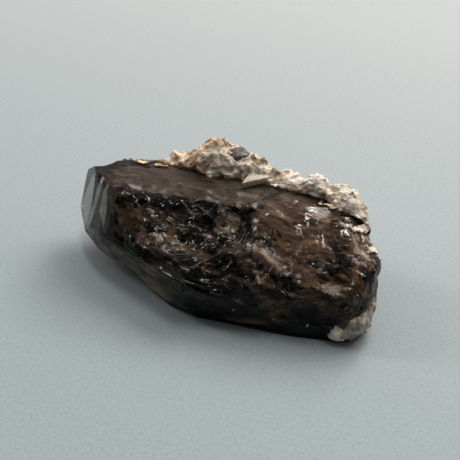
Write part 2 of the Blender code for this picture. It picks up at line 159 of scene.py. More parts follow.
@dataclass(frozen=True)
class Ledge:
    """A straight step across a rough face.

    Args:
        start: a point on the step, mm.
        azimuth: compass angle the step looks along, degrees.
        elevation: elevation it looks along, degrees.
        drop: height of the step, mm.
        fade: distance over which the drop runs out, mm.
    """

    start: tuple
    azimuth: float
    elevation: float
    drop: float
    fade: float


GLASSY, SATIN, BROKEN, BACK = Surface.GLASSY, Surface.SATIN, Surface.BROKEN, Surface.BROKEN_BACK

TOP_FACES = ("top_left", "top_right")
FRONT_FACES = ("front_left", "front_brow", "front_middle", "front_right")
ROOT_FACES = ("root_shoulder", "root_end", "root_foot", "top_right")
BACK_FACES = ("back_upper_left", "back_upper", "back_lower", "root_back")
BAND_FACES = ("lower_band_left", "lower_band_right", "tip_lower")

CRYSTAL_FACES = tuple(CrystalFace(*row) for row in (
    ("rest_flat", 0, -90, 14.00, 0, GLASSY),
    ("tip_underside", 180, -78.5, 15.57, 0.15, GLASSY),
    ("lower_band_left", -106.6, -14.6, 24.73, 0, GLASSY),
    ("lower_band_right", -79.5, -19.6, 23.09, 0, GLASSY),
    ("top_left", 105, 87, 14.79, 0.12, SATIN),
    ("top_right", 90, 87, 14.81, 0.30, SATIN),
    ("front_left", -106.7, 21.5, 24.19, 0.75, BROKEN),
    ("front_brow", -74.4, 75, 14.83, 0.55, BROKEN),
    ("front_middle", -79, 58.1, 13.73, 1, BROKEN),
    ("front_right", -71.9, -1.9, 22.81, 0.8, BROKEN),
    ("root_shoulder", 15, 42, 35.75, 1, BROKEN),
    ("root_end", -12, 8, 42.73, 1, BROKEN),
    ("root_foot", -30, -22, 41.49, 0.9, BROKEN),
    ("tip_strip_front", -115.6, 19.9, 28.30, 0, GLASSY),
    ("tip_strip_middle", -125.9, 17.6, 33.13, 0, GLASSY),
    ("tip_strip_back", -135.9, 14.7, 38.32, 0, GLASSY),
    ("tip_lower", -119.2, -4.8, 31.56, 0, GLASSY),
    ("tip_chamfer", 160, 55, 37.70, 0.25, GLASSY),
    ("tip_end", 160, 5, 53.75, 0.10, GLASSY),
    ("back_upper_left", 116, 34, 29.76, 0.15, SATIN),
    ("back_upper", 95.6, 35.4, 22.04, 0.55, BACK),
    ("back_lower", 88, -22, 20.40, 0.12, GLASSY),
    ("back_tip", 128, 6, 36.79, 0.15, GLASSY),
    ("root_back", 42, -12, 31.79, 1, BACK),
))

SHELL_BREAKS = tuple(ShellBreak(*row) for row in (
    ("left_shell", (-15.5, -11.8, 24.1), -79, 55, 11.6, 2.2),
    ("upper_flake", (-18.8, -7.2, 27.3), -79, 62, 6, 1),
    ("tip_flake", (-28.4, -15.5, 22.7), -98, 38, 7.4, 1.2),
    ("ridge_flake", (-19, -20.5, 16.5), -95, 22, 5.6, 0.9),
    ("centre_bowl", (1, -18.6, 17.6), -84, 42, 8.6, 2.2),
    ("centre_split", (-3.7, -6.4, 26), -60, 60, 6.8, 1.4),
    ("tan_bowl", (8.2, -9, 23), -70, 58, 7.8, 1.7),
    ("low_left", (1, -21.4, 9.4), -80, 15, 6.4, 0.9),
    ("middle_shell", (19.4, -16.2, 16.4), -74, 34, 8.4, 1.7),
    ("upper_shallow", (17.3, -0.1, 27.4), -79, 66, 11.5, 1.4),
    ("right_bowl", (29, -9, 20), -58, 42, 7.6, 1.6),
    ("right_flake", (26.2, 8.1, 28.3), 60, 75, 5.6, 0.9),
    ("root_bowl", (35.2, -4.6, 21), -40, 36, 5.4, 0.7),
    ("low_right", (28.1, -13.8, 8.9), -66, 2, 7.2, 1.3),
    ("right_mid", (18.2, -9, 22), -82, 50, 6, 1),
    ("upper_mid", (2.5, -1.4, 28.3), -79, 72, 6, 0.9),
    ("low_mid", (14, -17.4, 7.6), -74, 6, 6.6, 1.1),
    ("root_end_shell", (38, 0, 14), 0, 5, 8.5, 1),
    ("root_back_shell", (26, 17, 12), 45, 0, 9.5, 2),
    ("root_back_upper", (22, 16, 23), 60, 30, 6.5, 1.3),
    ("back_shell", (-2, 21.5, 17), 92, 8, 9, 1.7),
    ("back_flake", (12, 20, 8), 85, -20, 6, 1.1),
))

EDGE_CHIPS = tuple(ShellBreak(*row) for row in (
    ("under_tip_chip", (-31.5, -16.6, 3.6), -125, -50, 9, 1.7),
    ("band_chip", (-12, -20.6, 1), -95, -45, 3.4, 0.6),
    ("tip_top_chip", (-52, 4.5, 27.6), 175, 50, 3.2, 0.6),
    ("top_edge_chip", (-31, -9, 28.9), -80, 66, 4.2, 0.8),
    ("top_edge_bite", (-22.5, -6.8, 28.9), -75, 70, 5, 0.9),
    ("top_edge_nick", (-38, -10.2, 28.2), -95, 60, 2.6, 0.5),
    ("top_edge_scoop", (-13, -5.2, 28.9), -80, 72, 5.4, 0.9),
    ("top_edge_end", (-4, -1.8, 28.9), -60, 74, 6, 1),
    ("top_shallow", (-12, 3, 28.9), -80, 84, 6.5, 0.5),
))

BREAK_LEDGES = tuple(Ledge(*row) for row in (
    ((-24, -13, 24), -20, -20, 0.9, 7),
    ((-6, -12, 22), 5, -35, 1.1, 8),
    ((12, -10, 22), -15, -45, 0.9, 6.5),
    ((24, -8, 20), -10, -50, 0.9, 7.5),
    ((36, 0, 16), -60, -30, 0.8, 6),
    ((4, 20, 16), 160, -30, 0.8, 9),
))

# Ridge crust: X, middle Y, middle Z, half depth, half height, mm
CRUST_STATIONS = (
    (-38.5, 13.2, 25.6, 2, 2.2),
    (-36, 14, 25.2, 3.4, 3.2),
    (-33, 15, 25, 4.4, 4.2),
    (-30, 15.8, 25, 5.2, 5.7),
    (-27.2, 16.2, 25.2, 5.8, 8.4),
    (-24.8, 16.4, 25.6, 6.1, 9.7),
    (-22, 16.5, 25.8, 6.1, 9.9),
    (-19.4, 16.8, 26, 6, 9.2),
    (-17, 17.2, 26, 5.8, 8.3),
    (-14.2, 17.6, 25.8, 5.4, 7.3),
    (-11.2, 17.8, 25.8, 5, 7),
    (-8, 17.9, 26, 4.6, 6.3),
    (-4.6, 18, 26.2, 4.1, 4.8),
    (-1, 18.2, 26.4, 3.7, 4.3),
    (3, 18.2, 26.2, 3.5, 4.2),
    (7, 18, 26.2, 3.5, 4),
    (9.6, 17.6, 26.6, 3.7, 4.5),
    (12.8, 17.2, 27, 3.9, 5.2),
    (15.6, 16.8, 26.8, 3.8, 4.6),
    (18, 16.2, 26.6, 3.6, 4.4),
    (21, 15, 26.6, 3.6, 4.4),
    (24, 13.4, 26.4, 3.4, 4.3),
    (27, 11.8, 25.4, 2.8, 3.4),
    (29.2, 10.6, 24.4, 1.6, 2),
)
# Lumps of the ridge crust: size and height in mm, seed
CRUST_LUMPS = ((6.5, 1.5, 71), (3.1, 1.1, 83), (1.7, 0.5, 5))


# ---------------------------------------------------------------- small tools
def direction(azimuth: float, elevation: float) -> Vector:
    """Return the unit vector of an azimuth and an elevation.

    Args:
        azimuth: degrees round from +X.
        elevation: degrees above the horizon.

    Returns:
        The unit vector.
    """
    a, e = math.radians(azimuth), math.radians(elevation)
    return Vector((math.cos(a) * math.cos(e), math.sin(a) * math.cos(e), math.sin(e)))


def ramp(values: np.ndarray, start: float, end: float) -> np.ndarray:
    """Return a smooth ramp from 0 at start to 1 at end.

    Args:
        values: what is ramped.
        start: where the ramp begins.
        end: where it ends.

    Returns:
        Values between 0 and 1.
    """
    t = np.clip((values - start) / (end - start), 0.0, 1.0)
    return t * t * (3.0 - 2.0 * t)


def noise_at(points: np.ndarray, cell: float, seed: float, stretch: tuple = (1.0, 1.0, 1.0)) -> np.ndarray:
    """Return signed gradient noise at many points.

    Args:
        points: rows of X, Y, Z in mm.
        cell: size of the noise cells in mm.
        seed: offset that picks the pattern.
        stretch: how much longer the cells are along each axis.

    Returns:
        One value per point, about -1 to 1.
    """
    scaled = points / (cell * np.array(stretch)) + np.array((seed, seed * 0.37, seed * 0.71))
    return np.array([noise.noise(row) for row in scaled.tolist()])


def ridged_at(points: np.ndarray, cell: float, seed: float) -> np.ndarray:
    """Return noise with sharp crests: 1 on the crests, falling to 0 between them."""
    return 1.0 - np.clip(np.abs(noise_at(points, cell, seed)) * CREST_STEEPNESS, 0.0, 1.0)


def points_of(bm: BMesh) -> np.ndarray:
    """Return the vertex places of a bmesh as rows."""
    return np.array([v.co[:] for v in bm.verts], dtype=float).reshape(-1, 3)


def normals_of(bm: BMesh) -> np.ndarray:
    """Return the vertex normals of a bmesh as rows."""
    bm.normal_update()
    return np.array([v.normal[:] for v in bm.verts], dtype=float).reshape(-1, 3)


def place_points(bm: BMesh, points: np.ndarray) -> None:
    """Move the vertices of a bmesh to the given rows."""
    for vert, row in zip(bm.verts, points.tolist()):
        vert.co = row


def cut_planes(bm: BMesh, centre: Vector, cuts: list) -> None:
    """Cut a closed convex bmesh by planes.

    Args:
        bm: the block to cut.
        centre: point that the distances are measured from.
        cuts: pairs of outward normal and distance.
    """
    for normal, distance in cuts:
        geometry = bm.verts[:] + bm.edges[:] + bm.faces[:]
        result = bmesh.ops.bisect_plane(bm, geom=geometry, dist=CUT_GAP, plane_co=centre + normal * distance,
                                        plane_no=normal, clear_outer=True)
        rim = [g for g in result["geom_cut"] if isinstance(g, BMEdge)]
        if rim:
            bmesh.ops.holes_fill(bm, edges=rim, sides=0)
    bmesh.ops.remove_doubles(bm, verts=bm.verts[:], dist=WELD)
    bmesh.ops.dissolve_limit(bm, angle_limit=math.radians(FLAT_ANGLE), verts=bm.verts[:], edges=bm.edges[:])
    bmesh.ops.recalc_face_normals(bm, faces=bm.faces[:])


def face_towards(normal: Vector) -> CrystalFace:
    """Return the crystal face whose normal is closest to a normal."""
    return max(CRYSTAL_FACES, key=lambda f: f.normal().dot(normal))


def quartz_block(grow: float) -> BMesh:
    """Return the convex block bounded by the crystal faces.

    Args:
        grow: how far every face is moved out, mm.

    Returns:
        The closed block.
    """
    bm = bmesh.new()
    bmesh.ops.create_cube(bm, size=BLOCK_REACH, matrix=Matrix.Translation(BLOCK_CENTRE))
    cut_planes(bm, BLOCK_CENTRE, [(f.normal(), f.distance + grow) for f in CRYSTAL_FACES])
    return bm


def split_long_edges(bm: BMesh, limits: BMLayerItem, passes: int) -> None:
    """Split edges until none is longer than the limit of the finer face beside it.

    Args:
        bm: the mesh.
        limits: face layer with the longest edge allowed.
        passes: most rounds of splitting.
    """
    bmesh.ops.triangulate(bm, faces=bm.faces[:])
    for _ in range(passes):
        long_edges = [e for e in bm.edges if e.calc_length() > min(f[limits] for f in e.link_faces)]
        if not long_edges:
            break
        bmesh.ops.subdivide_edges(bm, edges=long_edges, cuts=1, use_grid_fill=False)
        bmesh.ops.triangulate(bm, faces=[f for f in bm.faces if len(f.verts) > 3])
        flat = [e for e in bm.edges if len(e.link_faces) == 2 and e.calc_face_angle(0.0) < FLAT_EDGE]
        bmesh.ops.beautify_fill(bm, faces=bm.faces[:], edges=flat)


def mark_creases(bm: BMesh, angle: float) -> None:
    """Shade smooth, with edges sharper than an angle kept crisp.

    Args:
        bm: the mesh.
        angle: crease angle, degrees.
    """
    limit = math.radians(angle)
    for face in bm.faces:
        face.smooth = True
    for edge in bm.edges:
        edge.smooth = edge.calc_face_angle(0.0) < limit


def wear(bm: BMesh, width: float) -> None:
    """Round every edge of a crisp solid a little."""
    bmesh.ops.bevel(bm, geom=bm.edges[:], offset=width, segments=2, affect="EDGES", profile=0.5, material=-1)
    mark_creases(bm, WORN_CREASE)


def scene_object(bm: BMesh, name: str) -> Object:
    """Put a mesh into the scene.

    Args:
        bm: the mesh, which is used up.
        name: name of the object.

    Returns:
        The object.
    """
    mesh = bpy.data.meshes.new(name)
    bm.to_mesh(mesh)
    bm.free()
    item = bpy.data.objects.new(name, mesh)
    bpy.context.scene.collection.objects.link(item)
    return item


def finish_piece(bm: BMesh, name: str, material: Material,
                 replaced: tuple = ()) -> Object:
    """Turn a bmesh in working millimetres into a finished piece that rides on the stone.

    Args:
        bm: the mesh, which is used up.
        name: name of the piece.
        material: what it is made of.
        replaced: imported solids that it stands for.

    Returns:
        The piece.
    """
    for vert in bm.verts:
        vert.co.z = max(vert.co.z, 0.0)
    bmesh.ops.transform(bm, matrix=Matrix.Scale(MM, 4) @ Matrix.Translation(-MIDDLE), verts=bm.verts[:])
    piece = scene_object(bm, name)
    piece.data.materials.append(material)
    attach(piece, "root")
    if replaced:
        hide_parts(*replaced)
    log.info("%s: %d faces", name, len(piece.data.polygons))
    return piece


# ---------------------------------------------------------------- finishes
QUARTZ_IOR = 1.544
FELDSPAR_IOR = 1.52
# Colour of a fracture film where it fades into the dark of the stone
FADED = (0.008, 0.005, 0.004, 1.0)
# Inputs A and B and the result of a mix node, for each kind of value
MIX_SOCKETS = {"FLOAT": (2, 3, 0), "RGBA": (6, 7, 2)}


class NodeBench:
    """Puts nodes into one node tree."""

    def __init__(self, tree: NodeTree, coordinates: str) -> None:
        """Start with the coordinates that the patterns use."""
        self.tree = tree
        self.coordinates = self.add("TexCoord", coordinates, {})

    def feed(self, inputs: object, values: dict) -> None:
        """Give inputs their values.

        Args:
            inputs: the inputs of a node.
            values: a plain value or the socket to link, by the name or place of the input.
        """
        for key, value in values.items():
            if isinstance(value, NodeSocket):
                self.tree.links.new(value, inputs[key])
            else:
                inputs[key].default_value = value

    def add(self, kind: str, output: object, values: dict, **settings: object) -> NodeSocket:
        """Add a node.

        Args:
            kind: type of the node, without ShaderNode.
            output: name or place of the output that is wanted.
            values: what its inputs are fed.
            settings: the node's own settings.

        Returns:
            The output.
        """
        node = self.tree.nodes.new("ShaderNode" + kind)
        for key, value in settings.items():
            setattr(node, key, value)
        self.feed(node.inputs, values)
        return node.outputs[output]

    def stretched(self, scale: tuple, turn: tuple = (0.0, 0.0, 0.0)) -> NodeSocket:
        """Return the coordinates, scaled and turned by angles in degrees."""
        angles = [math.radians(angle) for angle in turn]
        return self.add("Mapping", "Vector", {"Vector": self.coordinates, "Scale": scale, "Rotation": angles})

    def axis(self, letter: str) -> NodeSocket:
        """Return the coordinate along X, Y or Z."""
        return self.add("SeparateXYZ", letter, {"Vector": self.coordinates})

    def noise(self, scale: float, detail: float = 4.0, roughness: float = 0.55, distortion: float = 0.0,
              vector: NodeSocket = None) -> NodeSocket:
        """Return the value of a noise texture."""
        values = {"Scale": scale, "Detail": detail, "Roughness": roughness, "Distortion": distortion}
        return self.add("TexNoise", "Fac", {"Vector": vector or self.coordinates, **values})

    def cells(self, scale: float, vector: NodeSocket = None,
              output: str = "Distance") -> NodeSocket:
        """Return an output of a cell texture."""
        return self.add("TexVoronoi", output, {"Vector": vector or self.coordinates, "Scale": scale})

    def warped(self, vector: NodeSocket, scale: float, reach: float) -> NodeSocket:
        """Return coordinates pushed about by noise of a scale, by up to reach metres.

        Args:
            vector: the coordinates to push.
            scale: scale of the noise.
            reach: the longest push, m.

        Returns:
            The pushed coordinates.
        """
        push = self.add("TexNoise", "Color", {"Vector": vector, "Scale": scale, "Detail": 2.0})
        values = {0: push, 1: (reach * 2.0,) * 3, 2: vector}
        return self.add("VectorMath", "Vector", values, operation="MULTIPLY_ADD")

    def colours(self, factor: NodeSocket, stops: tuple) -> NodeSocket:
        """Return colours along stops.

        Args:
            factor: the place along the stops, 0 to 1.
            stops: pairs of place and colour.

        Returns:
            The colour.
        """
        node = self.tree.nodes.new("ShaderNodeValToRGB")
        elements = node.color_ramp.elements
        while len(elements) < len(stops):
            elements.new(0.5)
        for element, (position, colour) in zip(elements, stops):
            element.position = position
            element.color = (*colour, 1.0)
        self.feed(node.inputs, {"Fac": factor})
        return node.outputs["Color"]

    def span(self, value: NodeSocket, low: float, high: float, start: float = 0.0,
             end: float = 1.0) -> NodeSocket:
        """Return the value mapped from start..end to low..high."""
        return self.add("MapRange", "Result", {"Value": value, "From Min": start, "From Max": end,
                                               "To Min": low, "To Max": high})

    def attribute(self, name: str) -> NodeSocket:
        """Return the value of a point attribute of the piece."""
        return self.add("Attribute", "Fac", {}, attribute_name=name)

    def blend(self, factor: object, first: object, second: object, kind: str = "FLOAT",
              **settings: str) -> NodeSocket:
        """Return first and second mixed by factor; each is a socket or a plain value."""
        place, other, result = MIX_SOCKETS[kind]
        return self.add("Mix", result, {0: factor, place: first, other: second}, data_type=kind, **settings)

    def maths(self, operation: str, first: object, second: object) -> NodeSocket:
        """Return the result of a sum on two values; each is a socket or a number."""
        return self.add("Math", 0, {0: first, 1: second}, operation=operation)


class MaterialBench(NodeBench):
    """Puts together the node tree of one material."""

    def __init__(self, name: str) -> None:
        """Start a material with a lone Principled shader.

        Args:
            name: name of the material.
        """
        self.material = bpy.data.materials.new(name)
        self.material.use_nodes = True
        super().__init__(self.material.node_tree, "Object")

    def shade(self, **values: object) -> None:
        """Feed the shader's own inputs, with _ for a space in their names."""
        shader = self.tree.nodes["Principled BSDF"]
        self.feed(shader.inputs, {key.replace("_", " "): value for key, value in values.items()})

    def relief(self, height: NodeSocket, distance: float, strength: float = 1.0) -> None:
        """Bump the skin by a height, of which 1 stands for a distance in metres."""
        bump = self.add("Bump", "Normal", {"Height": height, "Distance": distance, "Strength": strength})
        self.shade(Normal=bump)

    def absorb(self, colour: tuple, density: float) -> None:
        """Fill the piece with a plain absorbing volume."""
        volume = self.add("VolumeAbsorption", "Volume", {"Color": (*colour, 1.0), "Density": density})
        self.feed(self.tree.nodes["Material Output"].inputs, {"Volume": volume})


@dataclass(frozen=True)
class SmokyQuartzFinish:
    """Clear smoky quartz: glassy breaks and a satin top."""

    tint: tuple = (0.93, 0.88, 0.82)
    cloudy: tuple = (0.86, 0.78, 0.69)
    absorbed: tuple = (0.36, 0.285, 0.21)
    density: float = 135.0
    glassy: float = 0.03
    satin: float = 0.34
    dent: float = 0.00030

    def material(self) -> Material:
        """Return the material.

        Returns:
            The finished material.
        """
        bench = MaterialBench("smoky_quartz_glass")
        satin = bench.attribute("satin")
        cloud = bench.noise(60.0, 3.0)
        streaks = bench.noise(160.0, 5.0, 0.6, 0.2, bench.stretched((0.25, 3.2, 3.2), (0.0, 0.0, 4.0)))
        glossy = bench.span(cloud, self.glassy, self.glassy * 3.0, 0.45, 0.8)
        brushed = bench.span(streaks, self.satin * 0.72, self.satin * 1.3, 0.3, 0.7)
        warped = bench.warped(bench.stretched((0.75, 1.35, 1.1), (0.0, 12.0, 8.0)), 260.0, 0.0012)
        small = bench.maths("MULTIPLY", bench.cells(1300.0, warped), 0.35)
        scales = bench.maths("ADD", bench.cells(560.0, warped), small)
        dents = bench.maths("MULTIPLY", bench.maths("MULTIPLY", scales, bench.attribute("broken")), -1.0)
        bench.relief(bench.blend(satin, dents, bench.maths("MULTIPLY", streaks, 0.25)), self.dent)
        bench.shade(IOR=QUARTZ_IOR, Transmission_Weight=1.0, Roughness=bench.blend(satin, glossy, brushed),
                    Base_Color=bench.colours(cloud, ((0.3, self.tint), (0.75, self.cloudy))))
        bench.absorb(self.absorbed, self.density)
        return bench.material


@dataclass(frozen=True)
class FeldsparFinish:
    """Granular feldspar, stained rust orange towards the tip and creamy towards the root."""

    stained: tuple = ((0.32, (0.26, 0.155, 0.09)), (0.46, (0.73, 0.56, 0.40)), (0.58, (0.85, 0.70, 0.53)),
                      (0.74, (0.93, 0.88, 0.81)))
    creamy: tuple = ((0.28, (0.30, 0.23, 0.165)), (0.40, (0.64, 0.55, 0.44)), (0.55, (0.90, 0.84, 0.76)),
                     (0.72, (0.93, 0.88, 0.81)))
    speckled: tuple = ((0.0, (0.62, 0.60, 0.58)), (0.5, (1.0, 1.0, 1.0)), (1.0, (1.25, 1.2, 1.15)))
    stain_end: tuple = (-0.016, -0.004)

    def material(self) -> Material:
        """Return the material.

        Returns:
            The finished material.
        """
        bench = MaterialBench("feldspar_crust_stone")
        cloud = bench.noise(180.0, 4.0, 0.6)
        fine = bench.noise(1400.0, 3.0, 0.6)
        along = bench.maths("ADD", bench.axis("X"), bench.span(cloud, -0.008, 0.008))
        side = bench.span(along, 0.0, 1.0, *self.stain_end)
        stained, creamy = bench.colours(cloud, self.stained), bench.colours(cloud, self.creamy)
        speckle = bench.colours(bench.cells(900.0, output="Color"), self.speckled)
        plain = bench.blend(side, stained, creamy, "RGBA")
        colour = bench.blend(0.75, plain, speckle, "RGBA", blend_type="MULTIPLY")
        bench.shade(IOR=FELDSPAR_IOR, Specular_IOR_Level=0.45, Base_Color=colour,
                    Roughness=bench.span(fine, 0.42, 0.8, 0.3, 0.7))
        bench.relief(bench.maths("ADD", fine, bench.cells(900.0)), 0.00034)
        return bench.material


@dataclass(frozen=True)
class PaleStoneFinish:
    """Pale grey-beige crust: patches with a faint gloss."""

    patches: tuple = ((0.34, (0.15, 0.11, 0.085)), (0.52, (0.47, 0.41, 0.35)), (0.72, (0.72, 0.67, 0.61)))
    gloss: float = 0.45

    def material(self) -> Material:
        """Return the material.

        Returns:
            The finished material.
        """
        bench = MaterialBench("pale_crust_stone")
        cloud = bench.noise(260.0, 5.0, 0.62)
        fine = bench.noise(1500.0, 3.0)
        bench.shade(IOR=FELDSPAR_IOR, Base_Color=bench.colours(cloud, self.patches),
                    Roughness=bench.span(fine, self.gloss * 0.7, self.gloss * 1.4, 0.3, 0.7))
        bench.relief(bench.maths("ADD", fine, cloud), 0.00014, 0.9)
        return bench.material


@dataclass(frozen=True)
class DarkCrystalFinish:
    """Small dark crystal: brown-grey, glassy with a frosted skin."""

    streaked: tuple = ((0.3, (0.24, 0.20, 0.165)), (0.6, (0.50, 0.44, 0.38)))
    clearness: float = 0.55

    def material(self) -> Material:
        """Return the material.

        Returns:
            The finished material.
        """
        bench = MaterialBench("dark_crystal_glass")
        streaks = bench.noise(300.0, 4.0, 0.6, 0.0, bench.stretched((2.0, 2.0, 0.4)))
        bench.shade(IOR=QUARTZ_IOR, Transmission_Weight=self.clearness,
                    Base_Color=bench.colours(streaks, self.streaked),
                    Roughness=bench.span(streaks, 0.14, 0.42, 0.35, 0.7))
        bench.relief(streaks, 0.00008, 0.8)
        return bench.material


@dataclass(frozen=True)
class PalePlateFinish:
    """Milky, faintly translucent plate."""

    milk: tuple = (0.82, 0.74, 0.64)
    clearness: float = 0.15
    rough: float = 0.22

    def material(self) -> Material:
        """Return the material.

        Returns:
            The finished material.
        """
        bench = MaterialBench("pale_plate")
        cloud = bench.noise(420.0, 4.0, 0.6)
        shadow = tuple(c * 0.72 for c in self.milk)
        bench.shade(IOR=FELDSPAR_IOR, Transmission_Weight=self.clearness,
                    Base_Color=bench.colours(cloud, ((0.35, shadow), (0.62, self.milk))),
                    Roughness=bench.span(cloud, self.rough * 0.6, self.rough * 1.7, 0.3, 0.7))
        bench.relief(cloud, 0.00012, 0.8)
        return bench.material


@dataclass(frozen=True)
class FractureFinish:
    """Film inside the stone, for fracture films and for the films and plates that carry painted glints,
    painted reflection and painted shade.

    Args:
        name: name of the material.
        bright: colour of the bright patches.
        dull: colour between them.
        rough: roughness.
        scale: size of the patches, per metre.
        metal: how mirror-like the film is.
        fading: whether the colour fades to black where the attribute "near" is 0.
    """

    name: str
    bright: tuple
    dull: tuple
    rough: float
    scale: float
    metal: float = 0.0
    fading: bool = False

    def material(self) -> Material:
        """Return the material.

        Returns:
            The finished material.
        """
        bench = MaterialBench(self.name)
        cloud = bench.noise(self.scale, 5.0, 0.65, 0.3, bench.stretched((0.45, 1.3, 1.3), (0.0, 12.0, 8.0)))
        colour = bench.colours(cloud, ((0.36, self.dull), (0.62, self.bright)))
        if self.fading:
            colour = bench.blend(bench.attribute("near"), FADED, colour, "RGBA")
            bench.shade(Specular_IOR_Level=0.1)
        bench.shade(IOR=1.5, Metallic=self.metal, Base_Color=colour,
                    Roughness=bench.span(cloud, self.rough * 1.5, self.rough * 0.7, 0.3, 0.7))
        bench.relief(cloud, 0.0002, 0.9)
        return bench.material


FINISHES = {
    "quartz": SmokyQuartzFinish(),
    "feldspar": FeldsparFinish(),
    "pale_stone": PaleStoneFinish(),
    "dark_crystal": DarkCrystalFinish(),
    "pale_plate": PalePlateFinish(),
    # Partly real fractures, partly painted glints: pale films stand in for light mirrored by internal
    # fractures and ripples
    "silver": FractureFinish("fracture_painted_glint", (0.7, 0.62, 0.53), (0.07, 0.05, 0.036), 0.35, 900.0,
                             fading=True),
    "tan": FractureFinish("tan_fracture", (0.58, 0.43, 0.31), (0.14, 0.09, 0.06), 0.40, 500, fading=True),
    "glow": FractureFinish("brown_cloud", (0.64, 0.475, 0.35), (0.14, 0.095, 0.065), 0.6, 420, fading=True),
    "haze": FractureFinish("satin_haze", (0.27, 0.20, 0.145), (0.035, 0.023, 0.015), 0.6, 380),
    # Painted reflection: a pale film under the lower band stands in for the floor mirrored at a grazing angle
    "band": FractureFinish("band_painted_reflection", (0.86, 0.77, 0.65), (0.50, 0.42, 0.33), 0.5, 160, fading=True),
    # Painted reflection: light grey plates under the tip facets stand in for the bright surroundings mirrored
    # in them
    "painted_reflection": FractureFinish("tip_painted_reflection", (0.62, 0.64, 0.63), (0.46, 0.47, 0.46), 0.22, 120, 0.35),
    # Painted shade with the stone's brown: dark plates behind the tip facets stand in for the shaded floor
    # seen through the clear tip
    "shade_backing": FractureFinish("tip_brown_painted_shade", (0.34, 0.23, 0.155), (0.12, 0.08, 0.055), 0.5, 300),
    # Painted glints: pale flakes stand in for small sparkles of light under the skin
    "flake": FractureFinish("painted_glint_flake", (0.82, 0.78, 0.72), (0.40, 0.35, 0.29), 0.25, 600, 0.2),
}


# ---------------------------------------------------------------- quartz body
class Neighbours:
    """Averages values over the neighbouring vertices of one mesh."""

    def __init__(self, bm: BMesh) -> None:
        """Note which vertices share an edge.

        Args:
            bm: the mesh.
        """
        ends = np.array([(e.verts[0].index, e.verts[1].index) for e in bm.edges])
        self.near = np.concatenate((ends[:, 1], ends[:, 0]))
        self.here = np.concatenate((ends[:, 0], ends[:, 1]))

    def averaged(self, values: np.ndarray, rounds: int, held: np.ndarray = None) -> np.ndarray:
        """Return values averaged over neighbouring vertices.

        Args:
            values: one row per vertex.
            rounds: how often the average is taken.
            held: vertices that keep their own value.

        Returns:
            The averaged rows.
        """
        size = len(values)
        count = np.bincount(self.here, minlength=size) + 1.0
        rows = values.reshape(size, -1).copy()
        for _ in range(rounds):
            sums = [np.bincount(self.here, row[self.near], size) + row for row in rows.T]
            fresh = np.stack(sums, axis=1) / count[:, None]
            rows = fresh if held is None else np.where(held[:, None], rows, fresh)
        return rows.reshape(values.shape)


def ledge_drop(points: np.ndarray) -> np.ndarray:
    """Return the depth of the straight steps.

    Args:
        points: rows in mm.

    Returns:
        The depth at each point, mm.
    """
    drop = np.zeros(len(points))
    for ledge in BREAK_LEDGES:
        offset = points - np.array(ledge.start)
        along = offset @ np.array(direction(ledge.azimuth, ledge.elevation))
        near = 1.0 - ramp(np.linalg.norm(offset, axis=1), 6.0, 13.0)
        along = along + 1.3 * noise_at(points, 4.5, ledge.fade)
        step = ramp(along, -0.55, 0.35) * np.clip(1.0 - np.maximum(along, 0.0) / ledge.fade, 0.0, 1.0)
        drop += 0.7 * ledge.drop * near * step
    return drop


def bowl_depth(points: np.ndarray, scale: BowlScale) -> np.ndarray:
    """Return the depth of a cover of small bowls at each point, mm.

    Args:
        points: rows in mm.
        scale: size and shape of the bowls.

    Returns:
        The depth, about 0 on average, with crisp ridges where two bowls meet.
    """
    draw = random.Random(scale.seed)
    taken_cells = {}
    for row in points[np.random.default_rng(scale.seed).permutation(len(points))].tolist():
        key = tuple(int(v // scale.spacing) for v in row)
        taken_cells.setdefault(key, row)
    sites = np.array(list(taken_cells.values()))
    tree = KDTree(len(sites))
    for index, row in enumerate(sites.tolist()):
        tree.insert(row, index)
    tree.balance()
    tilts = scale.slope * np.array([
        direction(draw.uniform(-180.0, 180.0), draw.uniform(-70.0, 70.0)) * draw.uniform(0.2, 1.0)
        for _ in sites])
    offsets = np.array([draw.uniform(-1.0, 1.0) for _ in sites]) * scale.offset
    nearest = np.array([[hit[1] for hit in tree.find_n(row, BOWLS_COMPARED)] for row in points.tolist()])
    span = points[:, None, :] - sites[nearest]
    value = (offsets[nearest] + np.einsum("ijk,ijk->ij", span, tilts[nearest])
             - scale.curve * np.einsum("ijk,ijk->ij", span, span))
    return value.max(axis=1) - 0.25 * scale.offset


def near_break(points: np.ndarray) -> np.ndarray:
    """Return 1 beside the broken front and 0 away from it, with a wavy border.

    Args:
        points: rows in mm.

    Returns:
        One number per point.
    """
    gaps = [face.gap(points) for face in CRYSTAL_FACES if face.name in FRONT_FACES]
    wavy = 3.2 * noise_at(points, 5.5, 41.0) + 1.2 * noise_at(points, 1.8, 43.0)
    return 1.0 - ramp(np.min(gaps, axis=0) + wavy, 0.6, 2.6)


def clear_of_crust(points: np.ndarray) -> np.ndarray:
    """Tell the open quartz from the quartz under the crust.

    Args:
        points: rows in mm.

    Returns:
        1 away from the crust and 0 under it, at each point.
    """
    nearest = np.full(len(points), BLOCK_REACH)
    for x, y, z, depth, height in CRUST_STATIONS:
        scaled = (points - np.array((x, y, z))) / np.array((2.0, depth, height))
        nearest = np.minimum(nearest, np.linalg.norm(scaled, axis=1))
    return ramp(nearest, 0.95, 2.0)


